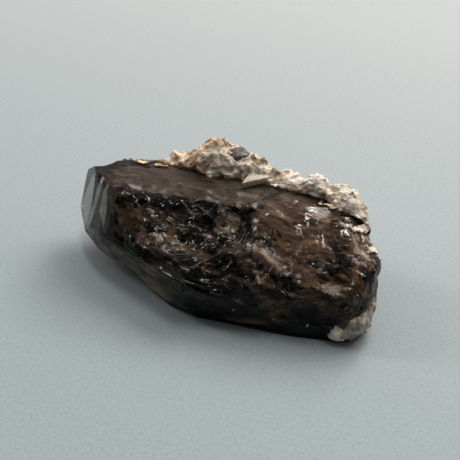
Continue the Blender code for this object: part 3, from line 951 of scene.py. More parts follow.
@dataclass
class QuartzBody:
    """The smoky quartz body, with flat growth faces and a broken, shell-chipped front.

    Args:
        edges: longest mesh edge on each kind of face, mm.
        rough_blend: distance over which a break dies out towards a flat face, mm.
        broken_from: how broken a vertex has to be before it is moved off its plane.
        rounding: rounds of averaging that ease the edges between broken faces.
        right_rounding: more such rounds on the right.
        brow_rounding: more such rounds on the right of the top.
        brow_height: height from which they work, mm.
        shell_rounding: rounds that soften the shell breaks on the right of the top.
        root_stand: how far the broken root stands out, mm.
        bowls: sizes of the small bowls on the broken faces.
        finder: the finished skin.
    """

    edges: dict = field(default_factory=lambda: {GLASSY: 3.0, SATIN: 0.75, BROKEN: 0.45, BACK: 0.85})
    rough_blend: float = 2.4
    broken_from: float = 0.02
    rounding: int = 34
    right_rounding: int = 150
    brow_rounding: int = 450
    brow_height: float = 21.0
    shell_rounding: int = 160
    root_stand: float = 1.0
    bowls: tuple = (BowlScale(8.0, 0.030, 0.20, 0.55, 3), BowlScale(3.4, 0.075, 0.34, 0.24, 7),
                    BowlScale(1.5, 0.16, 0.42, 0.09, 13))
    finder: BVHTree = field(default=None, init=False)

    def refined_block(self) -> tuple:
        """Return the finely split block and the index layer of its crystal faces.

        Returns:
            The mesh, and its face layer of indices into the crystal faces.
        """
        bm = quartz_block(0.0)
        limits = bm.faces.layers.float.new("limit")
        plane = bm.faces.layers.int.new("plane")
        for face in bm.faces:
            owner = face_towards(face.normal)
            face[plane] = CRYSTAL_FACES.index(owner)
            face[limits] = self.edges[owner.surface]
        split_long_edges(bm, limits, 12)
        bm.verts.index_update()
        return bm, plane

    def breakage(self, rough: np.ndarray, points: np.ndarray, top: np.ndarray) -> np.ndarray:
        """Return how broken the surface is.

        Args:
            rough: roughness of the flattest face beside each vertex.
            points: the vertices, mm.
            top: 1 on the broad top.

        Returns:
            0 where flat to 1 where fully broken, for each vertex.
        """
        amount = rough.copy()
        for face in CRYSTAL_FACES:
            gap = face.gap(points)
            if face.roughness <= 0.05:
                amount *= ramp(gap, 0.0, self.rough_blend)
            elif face.surface != SATIN:
                eased = face.roughness + (rough - face.roughness) * ramp(gap, 0.0, self.rough_blend * 2.0)
                amount = np.where(rough > face.roughness, np.minimum(amount, eased), amount)
        return np.maximum(amount, 0.85 * top * near_break(points))

    def rounded(self, points: np.ndarray, held: np.ndarray, nearby: Neighbours) -> np.ndarray:
        """Return the block with the edges between its broken faces eased, most of all on the right.

        Args:
            points: the vertices of the block, mm.
            held: vertices that stay where they are.
            nearby: the neighbours.

        Returns:
            The eased places.
        """
        eased = nearby.averaged(points, self.rounding, held)
        left = points[:, 0] + 0.4 * points[:, 1] < -6.0
        held = held | left | (clear_of_crust(points) < 0.5)
        eased = nearby.averaged(eased, self.right_rounding, held)
        return nearby.averaged(eased, self.brow_rounding, held | (points[:, 2] < self.brow_height))

    def shell_shift(self, points: np.ndarray, breaks: tuple, amount: np.ndarray) -> tuple:
        """Push points out of the shell breaks.

        Args:
            points: rows in mm.
            breaks: the scoops.
            amount: how much of each push is made.

        Returns:
            The new points, and the ripple height on them in mm.
        """
        ripple = np.zeros(len(points))
        for index, shell in enumerate(breaks):
            middle, radius = shell.ball()
            away = points - np.array(middle)
            span = np.linalg.norm(away, axis=1)
            inside = span < radius
            target = np.array(middle) + away / np.maximum(span, 1e-9)[:, None] * radius
            weight = np.where(inside, np.minimum(1.0, amount * 1.6), 0.0)
            points = points + (target - points) * weight[:, None]
            towards = direction(shell.azimuth + 75.0 + 40.0 * index, 20.0)
            spark = Vector(shell.centre) + towards * shell.rim * 1.05
            reach = np.linalg.norm(points - np.array(spark), axis=1)
            # Ripples lie 0.9 mm apart where the break started and further apart away from it
            wave = np.sin(reach * 2.0 * math.pi / (0.9 + 0.11 * reach) + index)
            crest = np.sign(wave) * np.abs(wave) ** 0.7
            deep = ramp(radius - span, 0.0, shell.depth * 0.5)
            ripple = np.where(inside, crest * deep * weight * min(0.24, 0.07 + shell.depth * 0.06), ripple)
        return points, ripple

    def chipping(self, points: np.ndarray, calm: np.ndarray) -> np.ndarray:
        """Return the depth of bowls, chips and hackle on a full break.

        Args:
            points: the vertices of the block, mm.
            calm: 1 where the break is lively, less where it is calm.

        Returns:
            The depth at each vertex, mm.
        """
        crushed = ramp(noise_at(points, 9.0, 77.0), -0.25, 0.3)
        coarse, middle, small = (bowl_depth(points, scale) for scale in self.bowls)
        chips = coarse + middle * (0.35 + 0.65 * crushed) + small * (0.25 + 0.75 * crushed)
        hackle = 0.045 * ridged_at(points, 1.1, 61.0) + 0.03 * noise_at(points, 0.6, 17.0)
        return chips * (0.3 + 0.7 * calm) + hackle * crushed

    def satin_relief(self, points: np.ndarray) -> np.ndarray:
        """Return the depth of the growth streaks and pits of a satin face.

        Args:
            points: the vertices of the block, mm.

        Returns:
            The depth at each vertex, mm.
        """
        fine = 0.10 * noise_at(points, 1.1, 5.0, (6.0, 0.9, 1.0))
        broad = 0.20 * noise_at(points, 3.0, 9.0, (2.4, 1.0, 1.0))
        pits = 0.70 * np.clip(noise_at(points, 1.8, 33.0, (1.9, 1.0, 1.0)) - 0.22, 0.0, 1.0)
        return np.abs(fine + broad) + pits

    def crease(self, bm: BMesh, plane: BMLayerItem) -> None:
        """Keep edges crisp between glassy faces, apart from those within the lower band.

        Args:
            bm: the mesh.
            plane: face layer with the index of the crystal face.
        """
        mark_creases(bm, WORN_CREASE)
        for edge in bm.edges:
            sides = [CRYSTAL_FACES[side] for side in {face[plane] for face in edge.link_faces}]
            if len(sides) == 2 and all(side.surface == GLASSY for side in sides):
                edge.smooth = all(side.name in BAND_FACES for side in sides)

    def build(self, material: Material) -> Object:
        """Make the quartz piece.

        Args:
            material: the quartz.

        Returns:
            The piece.
        """
        bm, plane = self.refined_block()
        nearby = Neighbours(bm)
        points = points_of(bm)
        x, height = points[:, 0], points[:, 2]
        owners = [[CRYSTAL_FACES[face[plane]] for face in vert.link_faces] for vert in bm.verts]
        rough = np.array([min(face.roughness for face in faces) for faces in owners])
        satin = np.array([any(face.surface == SATIN for face in faces) for faces in owners], float)
        top = np.array([any(face.name in TOP_FACES for face in faces) for faces in owners], float)

        amount = self.breakage(rough, points, top)
        held = amount < self.broken_from
        eased = self.rounded(points, held, nearby)
        amount = np.maximum(amount, top * 0.8 * ramp(x + 3.0 * noise_at(points, 6.0, 8.0), -8.0, 8.0))
        amount = np.where(held, amount, nearby.averaged(amount, 14, amount < self.broken_from))
        amount *= clear_of_crust(points)
        inward = -nearby.averaged(normals_of(bm), 14)
        inward /= np.linalg.norm(inward, axis=1)[:, None]

        moved, _ = self.shell_shift(eased, EDGE_CHIPS, np.ones(len(points)))
        moved, ripple = self.shell_shift(moved, SHELL_BREAKS, amount)
        gentle = ramp(x, -1.0, 8.0) * ramp(height, 20.0, 25.0) * ramp(amount, self.broken_from, 0.2)
        moved += (nearby.averaged(moved, self.shell_rounding) - moved) * gentle[:, None]

        swell = 0.80 * noise_at(points, 14.0, 11.3) + 0.35 * noise_at(points, 6.0, 27.9)
        push = np.maximum(-0.12, 0.20 + swell) + ledge_drop(points) - self.root_stand * ramp(x, 28.0, 36.0)
        brow = ramp(x, -2.0, 8.0) * ramp(height, 22.0, 26.0)
        calm = 1.0 - 0.7 * np.maximum(brow, 0.6 * ramp(x, 29.0, 36.0))
        detail = (self.chipping(points, calm) + ripple) * np.clip(amount * 1.3, 0.0, 1.0)
        moved = moved + inward * (push * amount + detail + self.satin_relief(points) * satin)[:, None]
        moved[:, 2] = np.maximum(moved[:, 2], 0.0)
        moved += (nearby.averaged(moved, 1) - moved) * (0.55 * np.clip(amount * 2.0, 0.0, 1.0))[:, None]

        place_points(bm, moved)
        bm.normal_update()
        self.crease(bm, plane)
        self.finder = BVHTree.FromBMesh(bm)
        polished = ramp(x + 6.0 * noise_at(points, 7.0, 3.0), -6.0, 2.0)
        masks = {"satin": nearby.averaged(satin, 2) * (1.0 - 0.85 * polished),
                 "broken": np.clip(amount * 1.4, 0.0, 1.0) * calm}
        piece = finish_piece(bm, "smoky_quartz_body", material, ("quartz_crystal",))
        for name, values in masks.items():
            layer = piece.data.attributes.new(name, "FLOAT", "POINT")
            layer.data.foreach_set("value", values.astype(np.float32))
        return piece


# ---------------------------------------------------------------- fractures inside the stone, and films and plates of painted glints, painted reflection and painted shade
@dataclass(frozen=True)
class Zone:
    """A part of the stone where something shows.

    Args:
        centre: its middle, mm.
        reach: its half sizes along X, Y and Z, mm.
        strength: how much shows in the middle.
    """

    centre: tuple
    reach: tuple
    strength: float = 1.0

    def presence(self, points: np.ndarray) -> np.ndarray:
        """Return how much shows at each point."""
        gap = np.linalg.norm((points - np.array(self.centre)) / np.array(self.reach), axis=1)
        return self.strength * (1.0 - ramp(gap, 0.55, 1.15))


def skin_normal(point: Vector) -> Vector:
    """Return the outward normal of the crystal face that lies nearest to a point."""
    offset = point - BLOCK_CENTRE
    return min(CRYSTAL_FACES, key=lambda f: f.distance - f.normal().dot(offset)).normal()


def thicken(bm: BMesh, thickness: float) -> None:
    """Give open sheets a wall, leaving closed shells with faces outwards.

    Args:
        bm: the sheets.
        thickness: thickness of the wall, mm.
    """
    bmesh.ops.delete(bm, geom=[v for v in bm.verts if not v.link_faces], context="VERTS")
    bm.normal_update()
    raised = bmesh.ops.extrude_face_region(bm, geom=bm.faces[:], use_keep_orig=True)["geom"]
    for vert in [item for item in raised if isinstance(item, BMVert)]:
        vert.co += vert.normal * thickness
    bmesh.ops.recalc_face_normals(bm, faces=bm.faces[:])


@dataclass(frozen=True)
class FractureLayer:
    """Ragged films that follow the skin at a depth: fracture films, some of them with painted glints, the
    crust skin, and the lower band's film of painted reflection.

    Args:
        zones: where the films show.
        faces: names of the crystal faces that they follow.
        depth: depth under the crystal faces, mm.
        edge: longest mesh edge, mm.
        cell: size of the rags, mm.
        drawn: how much longer the rags are along X.
        keep: noise level above which the film is there.
        wobble: how far it waves in and out, mm.
        seed: seed of the pattern.
        wall: thickness of the film, mm.
        dive: how much deeper it lies where it fades, mm.
        start: noise level from which it has colour.
        soft: noise span over which the colour comes.
        lift: how far it lies off the skin, for a film on the outside, mm.
        least: least depth of a film inside, mm.
    """

    zones: tuple
    faces: tuple
    depth: float
    edge: float
    cell: float
    drawn: float
    keep: float
    wobble: float
    seed: float
    wall: float = 0.12
    dive: float = 0.0
    start: float = EVERYWHERE
    soft: float = 0.3
    lift: float = None
    least: float = 0.35

    def level(self, points: np.ndarray) -> np.ndarray:
        """Return the noise that decides where the film is.

        Args:
            points: rows in mm.

        Returns:
            The level at each point, lowered outside the zones.
        """
        presence = np.max([zone.presence(points) for zone in self.zones], axis=0)
        stretch = (self.drawn, 1.0, 1.0)
        octaves = ((1.0, 1.0, 0.0), (0.5, 0.42, 7.0), (0.3, 0.17, 11.0))
        return sum(share * noise_at(points, self.cell * size, self.seed + shift, stretch)
                   for share, size, shift in octaves) + 0.9 * (presence - 1.0)

    def sheets(self) -> BMesh:
        """Return the flat rags, as deep under the crystal faces as the films lie.

        Returns:
            The flat rags as one mesh.
        """
        bm = quartz_block(-self.depth)
        limits = bm.faces.layers.float.new("limit")
        for face in bm.faces:
            face[limits] = self.edge if face_towards(face.normal).name in self.faces else BLOCK_REACH
        split_long_edges(bm, limits, 9)
        level = self.level(np.array([f.calc_center_median()[:] for f in bm.faces]))
        gone = [face for face, height in zip(bm.faces, level.tolist())
                if face[limits] >= BLOCK_REACH or height <= self.keep]
        bmesh.ops.delete(bm, geom=gone, context="FACES")
        return bm

    def settled(self, spot: Vector, normal: Vector, swing: float, skin: BVHTree) -> Vector:
        """Return a point of the film, kept on or under the skin.

        Args:
            spot: where it would lie.
            normal: the outward normal there.
            swing: how far the film waves out there, mm.
            skin: the skin of the quartz.

        Returns:
            Where it lies.
        """
        if self.lift is not None:
            return skin.find_nearest(spot)[0] + normal * (self.lift + swing)
        found = skin.ray_cast(spot + normal * (self.depth + self.dive + RAY_MARGIN), -normal)[0]
        if found is not None and (spot - found).dot(normal) > -self.least:
            return found - normal * self.least
        return spot

    def mesh(self, skin: BVHTree) -> BMesh:
        """Make the films.

        Args:
            skin: the skin of the quartz.

        Returns:
            The films, with the share of their colour as the layer "near".
        """
        bm = self.sheets()
        points = points_of(bm)
        normals = normals_of(bm)
        shown = ramp(self.level(points), self.start, self.start + self.soft)
        wave = self.wobble * (noise_at(points, 5.0, self.seed + 3.0, (1.6, 1.0, 1.0))
                              + 0.3 * noise_at(points, 1.6, self.seed + 5.0)) - self.dive * (1.0 - shown)
        near = bm.verts.layers.float.new("near")
        for vert, row, swing, part in zip(bm.verts, normals.tolist(), wave.tolist(), shown.tolist()):
            normal = Vector(row)
            vert[near] = part
            vert.co = self.settled(vert.co + normal * swing, normal, swing, skin)
        thicken(bm, self.wall)
        return bm


@dataclass(frozen=True)
class FacetPlates:
    """Thin plates just under the tip's facets: light grey ones are painted reflection, standing in for the
    bright surroundings mirrored in the facets, and dark brown ones are painted shade, standing in for the
    shaded floor seen through the clear tip.

    Args:
        outlines: corner points of each plate, mm.
        wall: thickness, mm.
    """

    outlines: tuple
    wall: float = 0.08

    def mesh(self, _: BVHTree) -> BMesh:
        """Make the plates.

        Args:
            _: the skin of the quartz, which they don't need.

        Returns:
            The plates.
        """
        bm = bmesh.new()
        for outline in self.outlines:
            bmesh.ops.contextual_create(bm, geom=[bm.verts.new(corner) for corner in outline])
        bmesh.ops.triangulate(bm, faces=bm.faces[:])
        thicken(bm, self.wall)
        return bm


@dataclass(frozen=True)
class Ribbon:
    """A fracture film along a line.

    Args:
        line: points along it, mm.
        width: its width in the middle, mm.
        depth: its depth under the skin, mm.
        dive: how much deeper its far side lies, mm.
        ragged: how ragged its sides are, 0 to 1.
    """

    line: tuple
    width: float
    depth: float
    dive: float
    ragged: float

    def length(self) -> float:
        """Return the length of the line, mm."""
        return sum((Vector(b) - Vector(a)).length for a, b in zip(self.line, self.line[1:]))

    def place(self, t: float) -> tuple:
        """Follow the line.

        Args:
            t: place along it, 0 to 1.

        Returns:
            The point and the tangent there.
        """
        last = len(self.line) - 1
        i = min(int(t * last), last - 1)
        start, end = Vector(self.line[i]), Vector(self.line[i + 1])
        return start.lerp(end, t * last - i), (end - start).normalized()


@dataclass(frozen=True)
class ArcFan:
    """Thin bright arcs round the point where a shell break started: painted highlights, standing in for light
    glinting on the break's ripples.

    Args:
        centre: the middle of the arcs, mm.
        radii: the radius of each arc, mm.
        start: angle where the arcs start, degrees from the right.
        end: angle where they end, degrees.
        width: width of an arc, mm.
        steps: straight pieces in an arc.
    """

    centre: tuple
    radii: tuple
    start: float
    end: float
    width: float = 0.4
    steps: int = 8

    def ribbons(self) -> list:
        """Return one ribbon per arc.

        Returns:
            The ribbons, inner arc first.
        """
        middle = Vector(self.centre)
        normal = skin_normal(middle)
        right = (Vector((1.0, 0.0, 0.0)) - normal * normal.x).normalized()
        up = normal.cross(right)
        fan = []
        for index, radius in enumerate(self.radii):
            start = self.start + 9.0 * math.sin(2.3 * index + self.centre[0])
            sweep = (self.end - self.start) / self.steps
            angles = [math.radians(start + sweep * i) for i in range(self.steps + 1)]
            line = tuple(tuple(middle + radius * (right * math.cos(a) + up * math.sin(a))) for a in angles)
            fan.append(Ribbon(line, self.width * (1.0 + 0.5 * math.sin(1.7 * index)), 0.12, 0.25, 1.0))
        return fan


@dataclass(frozen=True)
class RibbonSet:
    """Fracture films along lines.

    Args:
        ribbons: the lines.
        seed: seed of the ragged sides.
        step: mesh step along a line, mm.
        across: mesh steps across.
        wall: thickness, mm.
        least: share of its colour under which a film is left out.
    """

    ribbons: tuple
    seed: float
    step: float = 0.45
    across: int = 6
    wall: float = 0.10
    least: float = 0.30

    def add(self, bm: BMesh, ribbon: Ribbon, seed: float, skin: BVHTree) -> None:
        """Add the sheet of one line.

        Args:
            bm: the mesh that it is added to.
            ribbon: the line.
            seed: seed of its ragged sides.
            skin: the skin of the quartz.
        """
        near = bm.verts.layers.float["near"]
        length = ribbon.length()
        steps = max(4, int(length / self.step))
        grid = bmesh.ops.create_grid(bm, x_segments=steps, y_segments=self.across, size=0.5)["verts"]
        for vert in grid:
            # t runs from 0 to 1 along the line, v from -1 to 1 across it
            t, v = vert.co.x + 0.5, vert.co.y * 2.0
            middle, tangent = ribbon.place(t)
            normal = skin_normal(middle)
            side = normal.cross(tangent).normalized()
            taper = math.sqrt(max(0.0, 1.0 - (2.0 * t - 1.0) ** 2)) ** 0.7 + 0.04
            edge = noise.noise(Vector((t * length / 1.7, math.copysign(3.0, v), seed)))
            rag = 1.0 + ribbon.ragged * 1.6 * edge
            sway = 0.35 * ribbon.width * ribbon.ragged * noise.noise(Vector((t * length / 3.0, seed, 1.0)))
            spot = middle + side * (v * 0.5 * ribbon.width * taper * max(0.12, rag) + sway)
            crinkle = 0.22 * noise.noise(spot / 0.9 + Vector((seed, 0.0, 0.0)))
            depth = ribbon.depth + ribbon.dive * (v + 1.0) * 0.5 + crinkle
            vert.co = skin.find_nearest(spot)[0] - normal * depth
            torn = 0.9 * noise.noise(Vector((t * length / 1.3, v * 1.6, seed + 9.0)))
            vert[near] = min(1.0, max(0.0, (1.0 - abs(v)) * 1.6 * math.sqrt(taper) + torn - 0.15))

    def mesh(self, skin: BVHTree) -> BMesh:
        """Make the sheets.

        Args:
            skin: the skin of the quartz.

        Returns:
            The sheets, with the share of their colour as the layer "near".
        """
        bm = bmesh.new()
        bm.verts.layers.float.new("near")
        for index, ribbon in enumerate(self.ribbons):
            self.add(bm, ribbon, self.seed + 2.7 * index, skin)
        near = bm.verts.layers.float["near"]
        torn = [face for face in bm.faces if max(vert[near] for vert in face.verts) < self.least]
        bmesh.ops.delete(bm, geom=torn, context="FACES")
        thicken(bm, self.wall)
        return bm


@dataclass(frozen=True)
class SpeckField:
    """Tiny bright flakes scattered under the skin: painted sparkles, standing in for light glinting on small
    internal fractures.

    Args:
        zones: where they lie, each with its number of flakes as strength.
        sizes: smallest and largest length, mm.
        depths: least and greatest depth, mm.
        seed: seed of the scatter.
    """

    zones: tuple
    sizes: tuple = (0.2, 1.3)
    depths: tuple = (0.08, 0.9)
    seed: int = 31

    def mesh(self, skin: BVHTree) -> BMesh:
        """Scatter the flakes.

        Args:
            skin: the skin of the quartz.

        Returns:
            The flakes.
        """
        draw = random.Random(self.seed)
        smallest, largest = self.sizes
        bm = bmesh.new()
        for zone in [zone for zone in self.zones for _ in range(int(zone.strength))]:
            spot = Vector([c + r * draw.gauss(0.0, 0.45) for c, r in zip(zone.centre, zone.reach)])
            found, normal, _, _ = skin.find_nearest(spot)
            size = smallest + (largest - smallest) * draw.random() ** 2.2
            lean = Euler((draw.gauss(0.0, 0.5), draw.gauss(0.0, 0.5), draw.uniform(0.0, 6.28)))
            turn = normal.to_track_quat("Z", "X").to_matrix().to_4x4() @ lean.to_matrix().to_4x4()
            place = found - normal * (draw.uniform(*self.depths) + 0.1 * size)
            breadth = size * draw.uniform(0.06, 0.30) * draw.random()
            shape = Matrix.Diagonal((size * 0.5, breadth, size * 0.04, 1.0))
            matrix = Matrix.Translation(place) @ turn @ shape
            bmesh.ops.create_icosphere(bm, subdivisions=1, radius=1.0, matrix=matrix)
        return bm


# Where the pale fracture films show: partly real fractures, partly painted glints
GLINT_ZONES = tuple(Zone(*row) for row in (
    ((-19, -12.8, 24), (9.5, 4, 3)),
    ((-15, -7, 27), (6, 3, 2.5)),
    ((-6, -7, 25.5), (4.8, 5.6, 4.6), 2.2),
    ((28, 7, 27.5), (9, 7.5, 4)),
    ((12, -16.5, 18), (6.5, 3, 3), 0.8),
    ((-10, -21, 18), (8, 3, 3), 0.7),
    ((33, -11, 9), (6, 5, 5), 0.8),
))
TAN_ZONES = tuple(Zone(*row) for row in (
    ((10, -10, 22.5), (10, 5, 4)),
    ((12, -16.8, 18), (7, 3.5, 4)),
    ((-3, -20, 16.5), (5, 4, 4.5), 0.8),
    ((-20, -19, 19.5), (9, 3, 3), 0.6),
    ((30, -12, 15.5), (10, 4, 6), 0.95),
    ((22, -4, 24), (12, 7, 5), 0.75),
    ((36, 0, 18), (4, 9, 8), 0.8),
))
TOP_ZONES = tuple(Zone(*row) for row in (
    ((-28, 0, 28.5), (26, 17, 3)),
    ((-6, 8, 28.5), (10, 10, 3)),
))
GLOW_ZONES = tuple(Zone(*row) for row in (
    ((-14, -13, 22), (30, 11, 10), 0.58),
    ((10, -12, 14), (22, 9, 12), 0.7),
    ((16, 3, 25), (24, 14, 8), 1.35),
    ((28, -5, 18), (16, 13, 12), 1.3),
    ((37, -1, 18), (9, 13, 12), 1.5),
    ((39, 4, 9), (7, 9, 8), 1.2),
    ((20, -8, 21), (16, 8, 8), 1.25),
    ((-26, -15, 20), (12, 6, 6), 1.1),
    ((-36, -11, 24), (12, 7, 7), 0.9),
))
# Where the bright specks lie, with their number as strength: painted sparkles of light
GLINT_SPECK_ZONES = tuple(Zone(*row) for row in (
    ((-19, -12.8, 24.2), (8, 3, 2.5), 240),
    ((-15, -7, 27), (5.5, 2.5, 2), 70),
    ((-6.5, -6.5, 26), (4.5, 4.5, 3.5), 240),
    ((28, 6, 27.5), (8, 7, 3), 330),
    ((14, -8, 23), (14, 9, 5), 110),
    ((14, -17, 14), (12, 3, 6), 80),
    ((32, -11.5, 12), (6, 4, 7), 120),
    ((2, -21, 12), (8, 2, 3), 40),
    ((-28, -5, 28.5), (16, 4, 1), 25),
))
BACK_ZONES = tuple(Zone(*row) for row in (
    ((22, 16, 16), (16, 9, 12), 1.2),
    ((-2, 20, 14), (16, 7, 12), 0.9),
    ((-30, 17, 16), (20, 9, 12)),
))
# Where the lower band's film shows: painted reflection of the floor, weaker towards the right
FLOOR_REFLECTION_ZONES = tuple(Zone(*row) for row in (
    ((-30, -19, 7), (20, 7, 12)),
    ((-48, -9, 6), (13, 9, 8)),
    ((0, -19, 2.5), (16, 4, 2), 0.7),
))
SKIN_ZONES = tuple(Zone(*row) for row in (
    ((24, 12.5, 28), (11, 4.5, 3.5)),
    ((30.5, 7, 26), (5, 5, 5)),
    ((28, 6, 28), (7, 6, 2.5), 0.75),
    ((35, 3, 22), (4, 5, 4), 0.8),
    ((2, 14.5, 28.3), (14, 2.4, 2), 0.8),
    ((33, -11.5, 5), (6, 4, 4), 0.9),
    ((-44, 9.5, 28), (12, 3, 2), 1),
))
# Outlines of the light grey plates under the tip facets, mm: painted reflection of the bright surroundings
TIP_PAINTED_REFLECTION = (
    ((-62.4, 0.9, 12), (-56.2, -1.2, 23.5), (-52.9, -3, 27.4), (-52.6, -5.3, 22.3), (-53.7, -6.9, 15),
     (-54.4, -7.5, 11.5), (-56.9, -6.1, 8.4)),
    ((-47.7, -6.3, 29.4), (-49.7, -6.3, 25.8), (-51.1, -7.9, 19.2), (-52.5, -9.5, 12.4), (-50.7, -10.1, 14),
     (-49.1, -9, 20), (-47.4, -7.9, 25.8)),
    ((-44.4, -8.8, 28.5), (-45.7, -9.1, 26.2), (-46.3, -11.5, 19.6), (-43.2, -14.2, 16.4),
     (-43, -12.3, 21.4)),
)
# Outline of the dark plate behind the tip facets, mm: painted shade of the floor seen through the tip, in the
# stone's brown
TIP_SHADE_BACKING = (
    ((-60.4, -0.2, 10.5), (-54.2, -1, 22.5), (-50, -3, 27.6), (-44, -6.5, 28.2), (-41, -11, 24),
     (-41.5, -13.6, 16), (-45.5, -12, 8), (-52, -7, 5)),
)
# Lines of pale fracture film: partly real fractures, partly painted glints
GLINT_RIBBONS = (
    Ribbon(((-10.3, -22.1, 17.2), (-7.6, -19, 18.8), (-5.2, -16.4, 20), (-4, -14.1, 21.3),
            (-3.9, -11.8, 22.7)),
           0.9, 0.25, 0.5, 0.5),
    Ribbon(((-19.1, -21.3, 18.5), (-15, -21.7, 18), (-11.6, -22.1, 17.4),
            (-9.1, -22, 17.1)), 0.9, 0.25, 0.5, 0.7),
    Ribbon(((-2.7, -22.9, 12.8), (-0.9, -22.2, 11.7), (1.8, -21.4, 11.3), (4.4, -20.5, 10.3),
            (6.8, -19.7, 9.6)),
           1, 0.2, 0.5, 1),
    Ribbon(((-26.4, -15.7, 23), (-23.7, -13.5, 24), (-19.3, -12.5, 24.1), (-15.5, -10.6, 24.8),
            (-10.9, -10.7, 24.2)),
           1.3, 0.25, 0.5, 1),
    Ribbon(((-21.8, -5.3, 28.8), (-18.8, -7.2, 27.3), (-16, -7.9, 26.5), (-13, -7.4, 26.5),
            (-11.4, -5.1, 27.7)),
           0.8, 0.25, 0.4, 0.9),
    Ribbon(((-19.6, -5.7, 28.3), (-16.3, -5.7, 27.9), (-12.5, -6.7, 26.9),
            (-9, -8.3, 25.5)), 0.7, 0.25, 0.4, 0.9),
    Ribbon(((-27.2, -19.1, 18), (-23.1, -20.2, 18.3), (-18.4, -21.5, 18.5),
            (-14, -21.3, 18.1)), 0.5, 0.2, 0.3, 0.6),
    Ribbon(((-9.9, -3.7, 28.3), (-7.4, -5.4, 27), (-4.8, -7.9, 25.2),
            (-2.2, -9.8, 23.7)), 2.6, 0.4, 0.8, 0.9),
    Ribbon(((8.1, -17, 18.1), (11.5, -17.9, 17.2), (14.3, -17.4, 15.9)), 0.8, 0.3, 0.4, 0.9),
)
# Bright arcs: painted highlights of light on the ripples of shell breaks
GLINT_ARC_FANS = (
    ArcFan((-16, -13, 23.5), (4.2, 5.6, 7, 8.1, 9.2), -150, -15, 0.34),
    ArcFan((-20, -9, 26), (2, 2.9, 3.6, 4.6), -170, -40),
    ArcFan((-3, -9, 25), (2.2, 3.1, 4.2, 5.4, 6.2), -100, 30),
    ArcFan((20, -14, 17.5), (3, 4.2, 5.1, 6.4), -160, -30, 0.35),
    ArcFan((27, 3, 26.5), (3, 4.4, 6.2, 7.8), -170, -50, 0.30),
    ArcFan((30, -10, 14), (3, 4, 5.2, 6.6), -120, 20, 0.4),
)
TAN_RIBBONS = (
    Ribbon(((1.4, -10.2, 23), (5.1, -10, 22.8), (8.5, -10.7, 22), (12, -11.6, 21),
            (16.4, -12.9, 19.6)),
           7, 0.40, 0.7, 0.25),
    Ribbon(((7.1, -3.7, 26.4), (9.3, -5.7, 24.9), (12, -8, 23.2),
            (13.8, -9.4, 22.1)), 2, 0.5, 0.7, 0.5),
    Ribbon(((6.1, -15.6, 19.2), (10.1, -16.3, 18.3), (13.5, -17.1, 17.4),
            (16.9, -16.6, 15.6)), 3.8, 0.40, 0.7, 0.9),
    Ribbon(((-27.4, -18, 20.7), (-23.6, -19.3, 20.3), (-20, -19.8, 19.7), (-16.3, -20.5, 18.9),
            (-13.6, -20.8, 18.3)),
           2.8, 0.40, 0.7, 0.7),
    Ribbon(((-7, -17.9, 19.3), (-5, -19, 18.4), (-2.9, -20.2, 17.5)), 2.4, 0.6, 0.9, 0.9),
    Ribbon(((23.3, -13, 18.8), (27.4, -13, 18.3), (31.1, -12, 16.2),
            (34.3, -10.8, 13.2)), 2.4, 0.6, 0.9, 0.8),
    Ribbon(((13.2, -17.6, 7.6), (14.6, -17.2, 9), (15.8, -16.9, 10.2)), 1.4, 0.3, 0.3, 0.4),
)


# ---------------------------------------------------------------- crust
def fused(bm: BMesh, name: str, voxel: float) -> BMesh:
    """Fuse overlapping closed shells into one skin.

    Args:
        bm: the shells, which are used up.
        name: name of the work object.
        voxel: size of the skin's cells, mm.

    Returns:
        The fused mesh.
    """
    work = scene_object(bm, name)
    remesh = work.modifiers.new("fuse", "REMESH")
    remesh.mode = "VOXEL"
    remesh.voxel_size = voxel
    return taken(work)


def taken(work: Object) -> BMesh:
    """Take the finished mesh of a work object and remove the object.

    Args:
        work: the object, with its modifiers.

    Returns:
        Its mesh with the modifiers applied.
    """
    bpy.context.view_layer.update()
    evaluated = work.evaluated_get(bpy.context.evaluated_depsgraph_get())
    result = bmesh.new()
    result.from_mesh(evaluated.to_mesh())
    evaluated.to_mesh_clear()
    mesh = work.data
    bpy.data.objects.remove(work, do_unlink=True)
    bpy.data.meshes.remove(mesh)
    return result


def carved(bm: BMesh, cutter: BMesh) -> BMesh:
    """Take one closed mesh away from another.

    Args:
        bm: what is cut, used up.
        cutter: what is taken away, used up.

    Returns:
        The large shells that are left.
    """
    work = scene_object(bm, "carve_work")
    tool = scene_object(cutter, "carve_tool")
    cut = work.modifiers.new("carve", "BOOLEAN")
    cut.operation = "DIFFERENCE"
    cut.solver = "EXACT"
    cut.object = tool
    result = taken(work)
    bpy.data.objects.remove(tool, do_unlink=True)
    bmesh.ops.remove_doubles(result, verts=result.verts[:], dist=0.01)
    keep_large_shells(result, 400)
    bmesh.ops.triangulate(result, faces=result.faces[:])
    bmesh.ops.recalc_face_normals(result, faces=result.faces[:])
    return result


def keep_large_shells(bm: BMesh, smallest: int) -> None:
    """Delete small closed shells.

    Args:
        bm: the mesh.
        smallest: number of faces from which a shell is kept.
    """
    left = set(bm.faces)
    extra = []
    while left:
        stack = [left.pop()]
        shell = list(stack)
        while stack:
            beside = {other for edge in stack.pop().edges for other in edge.link_faces} & left
            left -= beside
            stack += beside
            shell += beside
        if len(shell) < smallest:
            extra += shell
    if extra:
        bmesh.ops.delete(bm, geom=extra, context="FACES")
        bmesh.ops.delete(bm, geom=[v for v in bm.verts if not v.link_faces], context="VERTS")


def random_turn(draw: random.Random) -> Matrix:
    """Return a random rotation."""
    return Euler([draw.uniform(0.0, math.tau) for _ in range(3)]).to_matrix().to_4x4()


